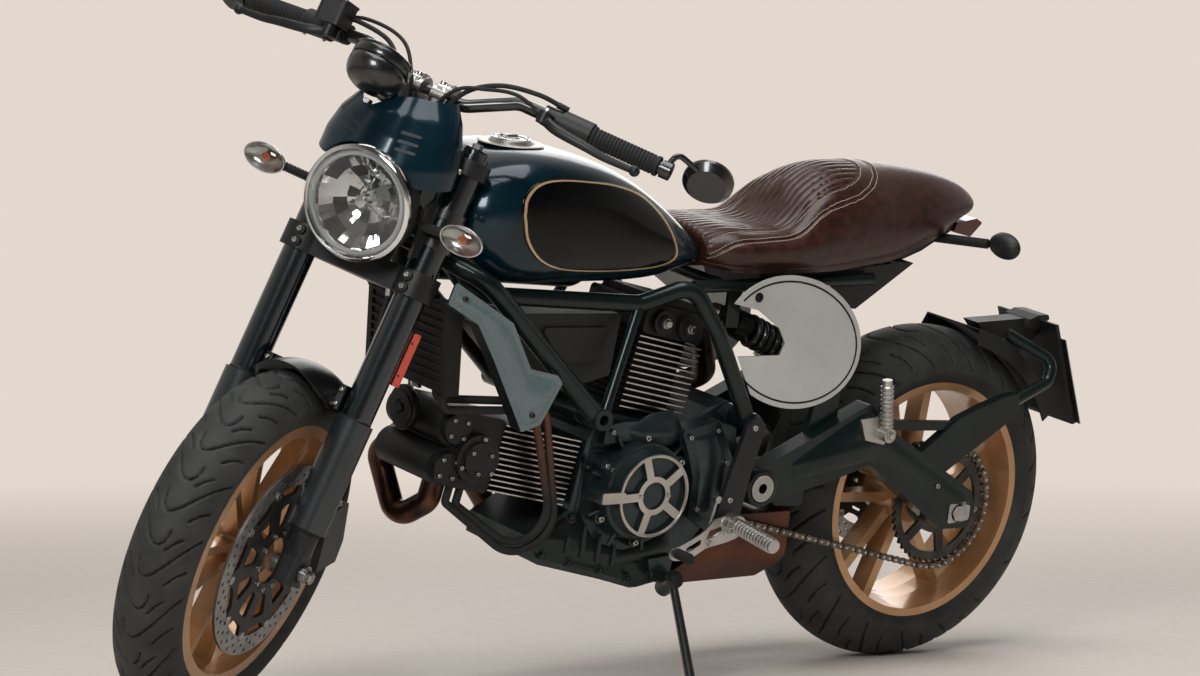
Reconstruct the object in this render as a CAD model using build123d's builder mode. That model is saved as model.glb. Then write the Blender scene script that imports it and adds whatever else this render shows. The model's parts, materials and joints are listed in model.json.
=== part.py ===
"""Cafe racer motorcycle, parked on its side stand with the bars turned to the left stop.

Every piece is drawn on the upright machine, in millimetres: X forward from the rear axle,
Y to the rider's left, Z up from the ground line of the tyres. At the end each finished piece
is turned into its parked place: steered (front pieces only), pitched until both tyres touch
the floor, leaned on the side stand, and moved so that the origin is the middle of the
machine's footprint on the floor.
"""

from build123d import *
from math import asin, atan2, ceil, cos, degrees, pi, radians, sin, sqrt
import os

# Chassis geometry
WHEELBASE = 1436.0
RAKE = 21.8                 # degrees, steering axis from the vertical
TRAIL = 93.9
LEAN = 11.7                 # degrees, parked on the side stand, to the left
STEER_REST = 31.87          # degrees, bars on the left stop
STEER_TRAVEL = 63.74        # degrees, from the left stop to the right one
FIT = 0.3                   # clearance between a piece and its seat
PIN_FIT = 0.1               # clearance of a clamp or a pin
RUN_FIT = 0.08              # radial clearance of a turning joint

# Wheels: tyre radius, half section width, half rim width between flanges
FRONT_R, FRONT_HALF, FRONT_BEAD = 300.0, 60.0, 44.5
REAR_R, REAR_HALF, REAR_BEAD = 315.0, 90.0, 70.0
CROWN_FLATS = 6
BEAD_R = 215.0
FLANGE_R = 231.0
FLANGE_T = 5.5
RIM_T = 8.0
SPOKE_PAIRS = 5
SPOKE_HUB_SPREAD = 20.0     # degrees, half angle between the two spokes of a pair at the hub
SPOKE_RIM_SPREAD = 12.0     # the same at the rim
FRONT_SPOKE_START = -2.0    # degrees, middle of the first pair
REAR_SPOKE_START = -60.0
HUB_R, REAR_HUB_R = 36.0, 52.0
HUB_HALF, REAR_HUB_HALF = 54.0, 68.0
AXLE_R, REAR_AXLE_R = 12.5, 12.5
AXLE_BORE_R = 8.0           # the hollow front axle, where a paddock stand's pin goes
PIVOT_BORE_R = 9.0          # the same in the swingarm's pivot

# Brakes
FRONT_DISC_R, FRONT_DISC_T, FRONT_DISC_Y = 165.0, 5.0, 64.0
REAR_DISC_R, REAR_DISC_T, REAR_DISC_Y = 122.5, 5.0, -84.0
DISC_BAND = 34.0

# Final drive
PITCH = 15.875
REAR_TEETH, FRONT_TEETH = 46, 15
CHAIN_LINKS = 102
CHAIN_Y = 108.0
CHAIN_HALF_W = 8.5
CHAIN_BAND_HALF_W = 6.0
CHAIN_HALF_H = 7.0
SPROCKET_RISE = 57.0        # front sprocket's height above the rear axle
SPROCKET_T = 6.0

# Fork, in its own frame: forward of the axle, to the left, along the legs
FORK_Y = 105.0
FORK_LEAD = 12.0            # the legs' centres ahead of the axle
OUTER_R, INNER_R, GUARD_R = 27.0, 20.5, 29.5
OUTER_LOW, OUTER_TOP = 262.0, 722.0
LOWER_YOKE, UPPER_YOKE = (474.0, 516.0), (688.0, 714.0)
STEM_R = 17.0
HEAD_R = 31.0
BAR_R = 11.0
BAR_HALF = 392.0
GRIP_IN, GRIP_R = 268.0, 16.5

# Frame tubes
TUBE_R = 16.0
NODE_F = (838.0, 520.0)     # lower front node, X and Z
NODE_R = (512.0, 502.0)     # lower rear node
NODE_Y = 150.0
CRANK = (705.0, 381.0)      # crankshaft, X and Z
CASE_HALF = 108.0
CYLINDER_TILT = 12.0        # degrees, the front cylinder above the horizontal
PIVOT = (472.0, 384.0)      # swingarm pivot
ARM_Y = (126.0, 162.0)      # inner and outer side of a swingarm leg

FORK_TILT = radians(RAKE)
FRONT_AXLE = Vector(WHEELBASE, 0, FRONT_R)
REAR_AXLE = Vector(0, 0, REAR_R)
UP_FORK = Vector(-sin(FORK_TILT), 0, cos(FORK_TILT))
AHEAD_FORK = Vector(cos(FORK_TILT), 0, sin(FORK_TILT))
STEER_FOOT = Vector(WHEELBASE + TRAIL, 0, 0)
STEER_OFFSET = (FRONT_AXLE - STEER_FOOT).dot(AHEAD_FORK)   # axle ahead of the steering axis
FORK = Plane(origin=FRONT_AXLE, x_dir=AHEAD_FORK, z_dir=UP_FORK)


def fork_point(ahead, left, along):
    """A point of the fork's own frame, in the upright machine's frame."""
    return FRONT_AXLE + AHEAD_FORK * ahead + Vector(0, left, 0) + UP_FORK * along


def side(y):
    """The plane of a side outline: X and Z of the machine, drawn at this Y, facing the right."""
    return Plane(origin=(0, y, 0), x_dir=(1, 0, 0), z_dir=(0, -1, 0))


def slab(outline, y_low, y_high, corner=0.0, mode=Mode.ADD):
    """A side outline as a plate between two Y values."""
    with BuildSketch(side(y_high)) as face:
        with BuildLine():
            Polyline(*outline, close=True)
        make_face()
        if corner:
            fillet(face.vertices(), corner)
    extrude(face.sketch, amount=y_high - y_low, mode=mode)


def rod(start, end, radius, end_radius=None, mode=Mode.ADD):
    """A round bar, or a cone when the end radius is given, between two points."""
    a, b = Vector(*start), Vector(*end)
    with BuildSketch(Plane(origin=a, z_dir=b - a)) as near:
        Circle(radius)
    if end_radius is None:
        extrude(near.sketch, amount=(b - a).length, mode=mode)
    else:
        with BuildSketch(Plane(origin=b, z_dir=b - a)) as far:
            Circle(end_radius)
        loft([near.sketch, far.sketch], mode=mode)


def tube(points, radius, bends, mode=Mode.ADD):
    """A round tube along straight runs joined by arcs; bends is one radius or a list."""
    with BuildLine() as path:
        if len(points) > 2:
            FilletPolyline(*points, radius=bends)
        else:
            Line(*points)
    start = path.wires()[0]
    with BuildSketch(Plane(origin=start @ 0, z_dir=start % 0)) as ring:
        Circle(radius)
    sweep(ring.sketch, path=start, mode=mode)


def spin(profile, axle, mode=Mode.ADD):
    """A ring about a wheel's axle from a profile of (Y, radius) points."""
    with BuildSketch(Plane(origin=axle, x_dir=(0, 1, 0), z_dir=(1, 0, 0))) as face:
        with BuildLine():
            Polyline(*profile, close=True)
        make_face()
    revolve(face.sketch, axis=Axis(axle, (0, 1, 0)), mode=mode)


def both_sides():
    """The same again on the other side of the machine."""
    mirror(about=Plane.XZ)


PIECES = {}


def keep(label, builder, steered=False):
    """Notes a finished piece, and whether it turns with the bars."""
    PIECES[label] = (builder.part, steered)


# Wheels, tyres and brakes

def tyre_profile(radius, half, bead):
    """Outline of a tyre, (Y, radius) points: a round crown in flats, sidewalls and beads."""
    crown = [
        (half * sin(a), radius - half + half * cos(a))
        for a in (radians(-78 + 156 * i / CROWN_FLATS) for i in range(CROWN_FLATS + 1))
    ]
    foot = [(bead - FIT, FLANGE_R + FIT), (bead - FIT, BEAD_R + FIT)]
    return crown + foot + [(-y, r) for y, r in reversed(foot)]


def wheel(axle, bead, hub_r, hub_half, bore_r, first_pair, spoke_w, spoke_half):
    """Cast wheel: rim, five pairs of spokes and a hub with its bore, added to the open part."""
    outside = bead + FLANGE_T
    spin([(-outside, FLANGE_R), (-bead, FLANGE_R), (-bead, BEAD_R), (bead, BEAD_R),
          (bead, FLANGE_R), (outside, FLANGE_R), (outside, BEAD_R - RIM_T),
          (spoke_half, BEAD_R - 1.6 * RIM_T), (-spoke_half, BEAD_R - 1.6 * RIM_T),
          (-outside, BEAD_R - RIM_T)], axle)
    spin([(-hub_half, bore_r), (hub_half, bore_r), (hub_half, 0.8 * hub_r),
          (0.6 * hub_half, hub_r), (-0.6 * hub_half, hub_r), (-hub_half, 0.8 * hub_r)], axle)
    inner, outer = 0.9 * hub_r, BEAD_R - RIM_T
    for pair in range(SPOKE_PAIRS):
        middle = first_pair + 360 / SPOKE_PAIRS * pair
        for sign in (-1, 1):
            a = radians(middle + sign * SPOKE_HUB_SPREAD)
            b = radians(middle + sign * SPOKE_RIM_SPREAD)
            root = (axle.X + inner * cos(a), axle.Z + inner * sin(a))
            tip = (axle.X + outer * cos(b), axle.Z + outer * sin(b))
            run = atan2(tip[1] - root[1], tip[0] - root[0])
            dx, dz = -sin(run) * spoke_w / 2, cos(run) * spoke_w / 2
            slab([(root[0] + dx, root[1] + dz), (root[0] - dx, root[1] - dz),
                  (tip[0] - dx, tip[1] - dz), (tip[0] + dx, tip[1] + dz)],
                 -spoke_half, spoke_half)


def disc(axle, radius, thick, y, hub_r, windows):
    """Brake disc: a braking band on a carrier with windows, added to the open part."""
    spin([(y, radius - DISC_BAND), (y + thick, radius - DISC_BAND), (y + thick, radius),
          (y, radius)], axle)
    for i in range(windows):
        a = 2 * pi * i / windows
        root = (axle.X + hub_r * cos(a), axle.Z + hub_r * sin(a))
        tip = (axle.X + (radius - DISC_BAND + 2) * cos(a),
               axle.Z + (radius - DISC_BAND + 2) * sin(a))
        dx, dz = -sin(a) * 8, cos(a) * 8
        slab([(root[0] + dx, root[1] + dz), (root[0] - dx, root[1] - dz),
              (tip[0] - dx, tip[1] - dz), (tip[0] + dx, tip[1] + dz)], y, y + thick)


with BuildPart() as front_tyre:
    spin(tyre_profile(FRONT_R, FRONT_HALF, FRONT_BEAD), FRONT_AXLE)
keep("front_tyre", front_tyre, steered=True)

with BuildPart() as front_wheel:
    wheel(FRONT_AXLE, FRONT_BEAD, HUB_R, HUB_HALF, AXLE_R + RUN_FIT, FRONT_SPOKE_START, 15.0, 15.0)
keep("front_wheel", front_wheel, steered=True)

with BuildPart() as front_disc:
    disc(FRONT_AXLE, FRONT_DISC_R, FRONT_DISC_T, FRONT_DISC_Y, 40.0, 10)
    spin([(HUB_HALF + FIT, AXLE_R + 6), (FRONT_DISC_Y + FRONT_DISC_T, AXLE_R + 6),
          (FRONT_DISC_Y + FRONT_DISC_T, 48), (FRONT_DISC_Y - 2, 48),
          (HUB_HALF + FIT, 0.8 * HUB_R)], FRONT_AXLE)
keep("front_disc", front_disc, steered=True)

with BuildPart() as rear_tyre:
    spin(tyre_profile(REAR_R, REAR_HALF, REAR_BEAD), REAR_AXLE)
keep("rear_tyre", rear_tyre)

with BuildPart() as rear_wheel:
    wheel(REAR_AXLE, REAR_BEAD, REAR_HUB_R, REAR_HUB_HALF, REAR_AXLE_R + RUN_FIT,
          REAR_SPOKE_START, 18.0, 20.0)
keep("rear_wheel", rear_wheel)

with BuildPart() as rear_disc:
    disc(REAR_AXLE, REAR_DISC_R, REAR_DISC_T, REAR_DISC_Y, 46.0, 8)
    spin([(-REAR_HUB_HALF - FIT, REAR_AXLE_R + 6), (REAR_DISC_Y, REAR_AXLE_R + 6),
          (REAR_DISC_Y, 54), (REAR_DISC_Y + REAR_DISC_T, 54),
          (-REAR_HUB_HALF - FIT, 0.8 * REAR_HUB_R)], REAR_AXLE)
keep("rear_disc", rear_disc)

# Chain drive. The loop is measured in pitches: two straight runs and two wraps.
REAR_PR = PITCH / (2 * sin(pi / REAR_TEETH))
FRONT_PR = PITCH / (2 * sin(pi / FRONT_TEETH))


def loop_pitches(centres):
    """How many pitches the loop takes at this distance between the sprockets' centres."""
    lap = asin((REAR_PR - FRONT_PR) / centres)
    return (2 * centres * cos(lap) / PITCH + (pi + 2 * lap) / (2 * pi / REAR_TEETH)
            + (pi - 2 * lap) / (2 * pi / FRONT_TEETH))


CENTRES = 500.0
for _ in range(6):
    CENTRES += (CHAIN_LINKS - loop_pitches(CENTRES)) * PITCH / 2
LAP = asin((REAR_PR - FRONT_PR) / CENTRES)
RISE = asin(SPROCKET_RISE / CENTRES)
SPROCKET = Vector(CENTRES * cos(RISE), CHAIN_Y, REAR_R + SPROCKET_RISE)


def chain_pin(step):
    """X and Z of the pin this many pitches along the loop, from the top of the rear wrap."""
    straight = CENTRES * cos(LAP) / PITCH
    front_wrap = (pi - 2 * LAP) / (2 * pi / FRONT_TEETH)
    top = pi / 2 + RISE - LAP          # direction of the upper run's tangent points
    low = -pi / 2 + RISE + LAP
    if step < straight:
        part = step / straight
        return (REAR_PR * cos(top) * (1 - part) + (SPROCKET.X + FRONT_PR * cos(top)) * part,
                (REAR_R + REAR_PR * sin(top)) * (1 - part)
                + (SPROCKET.Z + FRONT_PR * sin(top)) * part)
    step -= straight
    if step < front_wrap:
        a = top - step * 2 * pi / FRONT_TEETH
        return SPROCKET.X + FRONT_PR * cos(a), SPROCKET.Z + FRONT_PR * sin(a)
    step -= front_wrap
    if step < straight:
        part = step / straight
        return ((SPROCKET.X + FRONT_PR * cos(low)) * (1 - part) + REAR_PR * cos(low) * part,
                (SPROCKET.Z + FRONT_PR * sin(low)) * (1 - part)
                + (REAR_R + REAR_PR * sin(low)) * part)
    step -= straight
    a = low - step * 2 * pi / REAR_TEETH
    return REAR_PR * cos(a), REAR_R + REAR_PR * sin(a)


PINS = [chain_pin(i) for i in range(CHAIN_LINKS)]
with BuildPart() as chain:
    with BuildSketch(side(CHAIN_Y + CHAIN_BAND_HALF_W)) as band:
        with BuildLine():
            Polyline(*PINS, close=True)
        make_face()
        offset(amount=CHAIN_HALF_H - 1, kind=Kind.INTERSECTION)
        with BuildLine():
            Polyline(*PINS, close=True)
        make_face(mode=Mode.ADD)
    with BuildSketch(side(CHAIN_Y + CHAIN_BAND_HALF_W)) as hollow:
        with BuildLine():
            Polyline(*PINS, close=True)
        make_face()
        offset(amount=-(CHAIN_HALF_H - 1), kind=Kind.INTERSECTION, mode=Mode.REPLACE)
    extrude(band.sketch, amount=2 * CHAIN_BAND_HALF_W)
    extrude(hollow.sketch, amount=2 * CHAIN_BAND_HALF_W, mode=Mode.SUBTRACT)
    for i in range(0, CHAIN_LINKS, 2):
        ax, az = PINS[i]
        bx, bz = PINS[(i + 1) % CHAIN_LINKS]
        run = atan2(bz - az, bx - ax)
        ex, ez = cos(run), sin(run)
        plate = [(ax - ex * a - ez * b, az - ez * a + ex * b) for a, b in (
            (CHAIN_HALF_H, 0.0), (CHAIN_HALF_H / 2, CHAIN_HALF_H))]
        plate += [(bx + ex * a - ez * b, bz + ez * a + ex * b) for a, b in (
            (CHAIN_HALF_H / 2, CHAIN_HALF_H), (CHAIN_HALF_H, 0.0),
            (CHAIN_HALF_H / 2, -CHAIN_HALF_H))]
        plate += [(ax - ex * CHAIN_HALF_H / 2 + ez * CHAIN_HALF_H,
                   az - ez * CHAIN_HALF_H / 2 - ex * CHAIN_HALF_H)]
        slab(plate, CHAIN_Y - CHAIN_HALF_W, CHAIN_Y + CHAIN_HALF_W)
keep("chain", chain)

TOOTH_TIP = REAR_PR - CHAIN_HALF_H - 1.0
with BuildPart() as rear_sprocket:
    with BuildSketch(side(CHAIN_Y + SPROCKET_T / 2)) as toothed:
        with BuildLine():
            Polyline(*[((TOOTH_TIP - (7.0 if i % 2 else 0.0)) * cos(2 * pi * i / (2 * REAR_TEETH)),
                        REAR_R + (TOOTH_TIP - (7.0 if i % 2 else 0.0))
                        * sin(2 * pi * i / (2 * REAR_TEETH)))
                       for i in range(2 * REAR_TEETH)], close=True)
        make_face()
        with Locations((0, REAR_R)):
            Circle(TOOTH_TIP - 20, mode=Mode.SUBTRACT)
    extrude(toothed.sketch, amount=SPROCKET_T)
    for i in range(6):
        a = 2 * pi * i / 6 + 0.3
        root = (46 * cos(a), REAR_R + 46 * sin(a))
        tip = ((TOOTH_TIP - 18) * cos(a), REAR_R + (TOOTH_TIP - 18) * sin(a))
        dx, dz = -sin(a) * 9, cos(a) * 9
        slab([(root[0] + dx, root[1] + dz), (root[0] - dx, root[1] - dz),
              (tip[0] - dx, tip[1] - dz), (tip[0] + dx, tip[1] + dz)],
             CHAIN_Y - SPROCKET_T / 2, CHAIN_Y + SPROCKET_T / 2)
    spin([(REAR_HUB_HALF + FIT, REAR_AXLE_R + 6), (CHAIN_Y + SPROCKET_T / 2, REAR_AXLE_R + 6),
          (CHAIN_Y + SPROCKET_T / 2, 52), (CHAIN_Y - SPROCKET_T / 2 - 6, 52),
          (REAR_HUB_HALF + FIT, 0.8 * REAR_HUB_R)], REAR_AXLE)
keep("rear_sprocket", rear_sprocket)

# Axles, each held by its fork or swingarm, with nuts outside
with BuildPart() as front_axle:
    rod((FRONT_AXLE.X, -128, FRONT_AXLE.Z), (FRONT_AXLE.X, 128, FRONT_AXLE.Z), AXLE_R)
    rod((FRONT_AXLE.X, 128, FRONT_AXLE.Z), (FRONT_AXLE.X, 133, FRONT_AXLE.Z), 17)
    rod((FRONT_AXLE.X, -HUB_HALF - FIT, FRONT_AXLE.Z), (FRONT_AXLE.X, -86 + FIT, FRONT_AXLE.Z), 17)
    rod((FRONT_AXLE.X, FRONT_DISC_Y + FRONT_DISC_T + FIT, FRONT_AXLE.Z),
        (FRONT_AXLE.X, 86 - FIT, FRONT_AXLE.Z), 17)
    rod((FRONT_AXLE.X, -130, FRONT_AXLE.Z), (FRONT_AXLE.X, 134, FRONT_AXLE.Z), AXLE_BORE_R,
        mode=Mode.SUBTRACT)
keep("front_axle", front_axle, steered=True)

with BuildPart() as rear_axle:
    rod((0, -166, REAR_R), (0, 166, REAR_R), REAR_AXLE_R)
    with BuildSketch(side(170)) as nut:
        with Locations((0, REAR_R)):
            RegularPolygon(16, 6)
    extrude(nut.sketch, amount=170 - ARM_Y[1] - FIT)
    rod((0, -170, REAR_R), (0, -ARM_Y[1] - FIT, REAR_R), 16)
    rod((0, CHAIN_Y + SPROCKET_T / 2 + FIT, REAR_R), (0, ARM_Y[0] - FIT, REAR_R), 17)
    rod((0, -ARM_Y[0] + FIT, REAR_R), (0, REAR_DISC_Y - FIT, REAR_R), 17)
keep("rear_axle", rear_axle)

# Fork and yokes
STEM_X = -STEER_OFFSET


def yoke(low, high, wall):
    """A fork yoke: two clamps and the middle that carries the stem."""
    with BuildSketch(FORK.offset(low)) as outline:
        with BuildLine():
            Polyline((FORK_LEAD + 24, FORK_Y), (FORK_LEAD + 24, -FORK_Y),
                     (FORK_LEAD - 26, -FORK_Y), (STEM_X - 31, -18), (STEM_X - 31, 18),
                     (FORK_LEAD - 26, FORK_Y), close=True)
        make_face()
        with Locations((FORK_LEAD, FORK_Y), (FORK_LEAD, -FORK_Y)):
            Circle(OUTER_R + wall)
        with Locations((FORK_LEAD, FORK_Y), (FORK_LEAD, -FORK_Y)):
            Circle(OUTER_R + PIN_FIT, mode=Mode.SUBTRACT)
    extrude(outline.sketch, amount=high - low)


with BuildPart() as lower_yoke:
    yoke(*LOWER_YOKE, 9.0)
    rod(fork_point(STEM_X, 0, LOWER_YOKE[1]), fork_point(STEM_X, 0, UPPER_YOKE[0] - PIN_FIT),
        STEM_R)
    for sign in (-1, 1):
        for along in (LOWER_YOKE[0] + 11, LOWER_YOKE[1] - 11):
            rod(fork_point(FORK_LEAD + 20, sign * (FORK_Y - 4), along),
                fork_point(FORK_LEAD + 42, sign * (FORK_Y - 4), along), 8)
    for sign in (-1, 1):
        rod(fork_point(FORK_LEAD, sign * FORK_Y, LOWER_YOKE[0] - 5),
            fork_point(FORK_LEAD, sign * FORK_Y, LOWER_YOKE[1] + 5), OUTER_R + PIN_FIT,
            mode=Mode.SUBTRACT)
keep("lower_yoke", lower_yoke, steered=True)

CLAMP_AHEAD, CLAMP_ALONG = 30.0, 790.0
with BuildPart() as upper_yoke:
    yoke(*UPPER_YOKE, 8.0)
    with BuildSketch(FORK.offset(UPPER_YOKE[1])) as cap:
        with Locations((STEM_X, 0)):
            RegularPolygon(16, 6)
    extrude(cap.sketch, amount=10)
keep("upper_yoke", upper_yoke, steered=True)

with BuildPart() as bar_clamp:
    riser = Plane(origin=fork_point(0, 34, 0), x_dir=AHEAD_FORK, z_dir=(0, -1, 0))
    with BuildSketch(riser) as base:
        with BuildLine():
            Polyline((-4, UPPER_YOKE[1] + FIT), (36, UPPER_YOKE[1] + FIT),
                     (CLAMP_AHEAD + 18, CLAMP_ALONG - 8), (CLAMP_AHEAD - 18, CLAMP_ALONG - 8), close=True)
        make_face()
        with Locations((CLAMP_AHEAD, CLAMP_ALONG)):
            Circle(BAR_R + 3 + PIN_FIT, mode=Mode.SUBTRACT)
    extrude(base.sketch, amount=68)
    for y in (34, -10):
        with BuildSketch(Plane(origin=fork_point(0, y, 0), x_dir=AHEAD_FORK, z_dir=(0, -1, 0))) as cap:
            with Locations((CLAMP_AHEAD, CLAMP_ALONG)):
                SlotOverall(62, 34)
                Circle(22)
                Circle(BAR_R + 3 + PIN_FIT, mode=Mode.SUBTRACT)
        extrude(cap.sketch, amount=24)
keep("bar_clamp", bar_clamp, steered=True)

BAR_ROUTE = ((CLAMP_AHEAD, 0, CLAMP_ALONG), (CLAMP_AHEAD, 62, CLAMP_ALONG),
             (12, 140, 830), (-25, BAR_HALF, 824))
with BuildPart() as handlebar:
    tube([fork_point(*p) for p in BAR_ROUTE], BAR_R, 40)
    rod(fork_point(CLAMP_AHEAD, 0, CLAMP_ALONG), fork_point(CLAMP_AHEAD, 36, CLAMP_ALONG),
        BAR_R + 3)
    both_sides()
keep("handlebar", handlebar, steered=True)


def along_bar(y):
    """A point on the straight outer stretch of the handlebar."""
    a, b = Vector(*BAR_ROUTE[2]), Vector(*BAR_ROUTE[3])
    return a + (b - a) * ((y - a.Y) / (b.Y - a.Y))


def sleeve(y_from, y_to, radius, bore):
    """A ring on the straight outer stretch of the handlebar."""
    a, b = fork_point(*along_bar(y_from)), fork_point(*along_bar(y_to))
    with BuildSketch(Plane(origin=a, z_dir=b - a)) as ring:
        Circle(radius)
        Circle(bore, mode=Mode.SUBTRACT)
    extrude(ring.sketch, amount=(b - a).length)


with BuildPart() as grips:
    sleeve(GRIP_IN, BAR_HALF - 2, GRIP_R, BAR_R + PIN_FIT)
    both_sides()
keep("grips", grips, steered=True)

with BuildPart() as bar_controls:
    sleeve(GRIP_IN - 52, GRIP_IN - FIT, 21, BAR_R + PIN_FIT)
    sleeve(GRIP_IN - 84, GRIP_IN - 52, 17, BAR_R + PIN_FIT)
    hold = along_bar(GRIP_IN - 70)
    with BuildSketch(Plane(origin=fork_point(hold.X + 14, hold.Y - 10, hold.Z - 8),
                           x_dir=AHEAD_FORK, z_dir=(0, 1, 0))) as perch:
        Rectangle(34, 18)
    extrude(perch.sketch, amount=20)
    both_sides()
    tank = along_bar(GRIP_IN - 60)
    with BuildSketch(Plane(origin=fork_point(tank.X + 34, -tank.Y, tank.Z + 2),
                           x_dir=AHEAD_FORK, z_dir=UP_FORK)) as cup:
        RectangleRounded(54, 50, 10)
    extrude(cup.sketch, amount=40)
    for y in (-1, 1):
        p, q = along_bar(GRIP_IN - 96), along_bar(GRIP_IN + 4)
        rod(fork_point(p.X, y * p.Y, p.Z), fork_point(q.X, y * q.Y, q.Z), BAR_R + PIN_FIT,
            mode=Mode.SUBTRACT)
keep("bar_controls", bar_controls, steered=True)

with BuildPart() as levers:
    pivot = along_bar(GRIP_IN - 66)
    knee = along_bar(GRIP_IN + 20)
    tip = along_bar(BAR_HALF - 20)
    tube([fork_point(pivot.X + 46, pivot.Y, pivot.Z - 8), fork_point(knee.X + 62, knee.Y, knee.Z - 10),
          fork_point(tip.X + 48, tip.Y, tip.Z - 14)], 5.5, 60)
    with Locations(fork_point(tip.X + 48, tip.Y, tip.Z - 14)):
        Sphere(9)
    rod(fork_point(pivot.X + 46, pivot.Y, pivot.Z - 17), fork_point(pivot.X + 46, pivot.Y, pivot.Z), 10)
    rod(fork_point(pivot.X + 33, pivot.Y, pivot.Z - 8),
        fork_point(pivot.X + 46, pivot.Y, pivot.Z - 8), 7)
    both_sides()
keep("levers", levers, steered=True)

MIRROR_R = 42.0
with BuildPart() as mirrors:
    sleeve(BAR_HALF + FIT, BAR_HALF + 16, 15, 6)
    end = along_bar(BAR_HALF + 8)
    tube([fork_point(end.X, end.Y, end.Z + 12), fork_point(end.X - 4, end.Y + 6, end.Z + 32),
          fork_point(end.X - 38, end.Y + 44, end.Z + 20)], 5, 12)
    face = Plane(origin=fork_point(end.X - 52, end.Y + 56, end.Z + 4),
                 x_dir=(0, 1, 0), z_dir=Vector(0.86, 0.3, -0.4))
    with BuildSketch(face) as back:
        Circle(MIRROR_R - 10)
    with BuildSketch(face.offset(-12)) as rim:
        Circle(MIRROR_R)
    loft([back.sketch, rim.sketch])
    with BuildSketch(face.offset(-18)) as glass:
        Circle(MIRROR_R)
    extrude(glass.sketch, amount=6)
    both_sides()
keep("mirrors", mirrors, steered=True)

with BuildPart() as fork_outers:
    rod(fork_point(FORK_LEAD, FORK_Y, OUTER_LOW), fork_point(FORK_LEAD, FORK_Y, OUTER_TOP), OUTER_R)
    rod(fork_point(FORK_LEAD, FORK_Y, OUTER_TOP), fork_point(FORK_LEAD, FORK_Y, OUTER_TOP + 9), 21)
    rod(fork_point(FORK_LEAD, FORK_Y, OUTER_LOW), fork_point(FORK_LEAD, FORK_Y, OUTER_LOW + 30),
        INNER_R + PIN_FIT, mode=Mode.SUBTRACT)
    both_sides()
keep("fork_outers", fork_outers, steered=True)

SHOE_TOP = 62.0
with BuildPart() as fork_inners:
    rod(fork_point(FORK_LEAD, FORK_Y, SHOE_TOP + FIT), fork_point(FORK_LEAD, FORK_Y, OUTER_LOW + 29),
        INNER_R)
    both_sides()
keep("fork_inners", fork_inners, steered=True)

with BuildPart() as fork_shoes:
    with BuildSketch(FORK.offset(-24)) as foot:
        with Locations((2, FORK_Y)):
            RectangleRounded(52, 38, 9)
    extrude(foot.sketch, amount=46)
    with BuildSketch(FORK.offset(22)) as low:
        with Locations((4, FORK_Y)):
            RectangleRounded(50, 38, 9)
    with BuildSketch(FORK.offset(SHOE_TOP)) as high:
        with Locations((FORK_LEAD, FORK_Y)):
            Circle(25)
    loft([low.sketch, high.sketch])
    both_sides()
    with BuildSketch(FORK.offset(30)) as lug:
        with Locations((-34, FORK_Y - 8)):
            Rectangle(46, 14)
    extrude(lug.sketch, amount=22)
    rod((FRONT_AXLE.X, -140, FRONT_AXLE.Z), (FRONT_AXLE.X, 140, FRONT_AXLE.Z),
        AXLE_R + PIN_FIT, mode=Mode.SUBTRACT)
keep("fork_shoes", fork_shoes, steered=True)

with BuildPart() as fork_guards:
    with BuildSketch(FORK.offset(SHOE_TOP + 6)) as shell:
        with Locations((FORK_LEAD, FORK_Y)):
            Circle(GUARD_R + 3)
            Circle(GUARD_R, mode=Mode.SUBTRACT)
            with Locations((-26, 0)):
                Rectangle(40, 74, mode=Mode.SUBTRACT)
            with Locations((0, -GUARD_R - 1)):
                Rectangle(60, 6, mode=Mode.SUBTRACT)
    extrude(shell.sketch, amount=OUTER_LOW - 4 - SHOE_TOP - 6)
    with BuildSketch(FORK.offset(OUTER_LOW - 22)) as bridge:
        with Locations((FORK_LEAD, FORK_Y)):
            Circle(GUARD_R + 1)
            Circle(INNER_R + FIT, mode=Mode.SUBTRACT)
            with Locations((0, -GUARD_R - 1)):
                Rectangle(60, 6, mode=Mode.SUBTRACT)
    extrude(bridge.sketch, amount=10)
    both_sides()
keep("fork_guards", fork_guards, steered=True)

with BuildPart() as front_caliper:
    with BuildSketch(side(FORK_Y - 8)) as body:
        with BuildLine():
            Polyline((FRONT_AXLE.X - 118, 258), (FRONT_AXLE.X - 182, 262), (FRONT_AXLE.X - 190, 300),
                     (FRONT_AXLE.X - 172, 372), (FRONT_AXLE.X - 112, 366), close=True)
        make_face()
    extrude(body.sketch, amount=58)
    spin([(FRONT_DISC_Y - 5, 90), (FRONT_DISC_Y + FRONT_DISC_T + 5, 90),
          (FRONT_DISC_Y + FRONT_DISC_T + 5, FRONT_DISC_R + 5), (FRONT_DISC_Y - 5, FRONT_DISC_R + 5)],
         FRONT_AXLE, mode=Mode.SUBTRACT)
keep("front_caliper", front_caliper, steered=True)

# Headlight, cowl, instrument and indicators
LAMP = Vector(1336, 0, 879)
LAMP_R = 94.0
LENS_R = LAMP_R - 7
DOME_RISE = 15.0


def lamp_disc(x, radius):
    """A round section of the headlight, square to the direction of travel."""
    with BuildSketch(Plane(origin=(x, 0, LAMP.Z), z_dir=(1, 0, 0))) as section:
        Circle(radius)
    return section.sketch


with BuildPart() as headlight_shell:
    loft([lamp_disc(LAMP.X - 112, 30), lamp_disc(LAMP.X - 84, 70), lamp_disc(LAMP.X - 45, LAMP_R - 4)],
         ruled=True)
    extrude(lamp_disc(LAMP.X - 45, LAMP_R - 4), amount=35)
    extrude(lamp_disc(LAMP.X - 12, LAMP_R), amount=12)
    loft([lamp_disc(LAMP.X - 60, 30), lamp_disc(LAMP.X, LENS_R + 1)], mode=Mode.SUBTRACT)
    for sign in (-1, 1):
        rod((LAMP.X - 62, sign * 60, LAMP.Z), (LAMP.X - 62, sign * 92, LAMP.Z), 10)
keep("headlight_shell", headlight_shell, steered=True)

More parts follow.
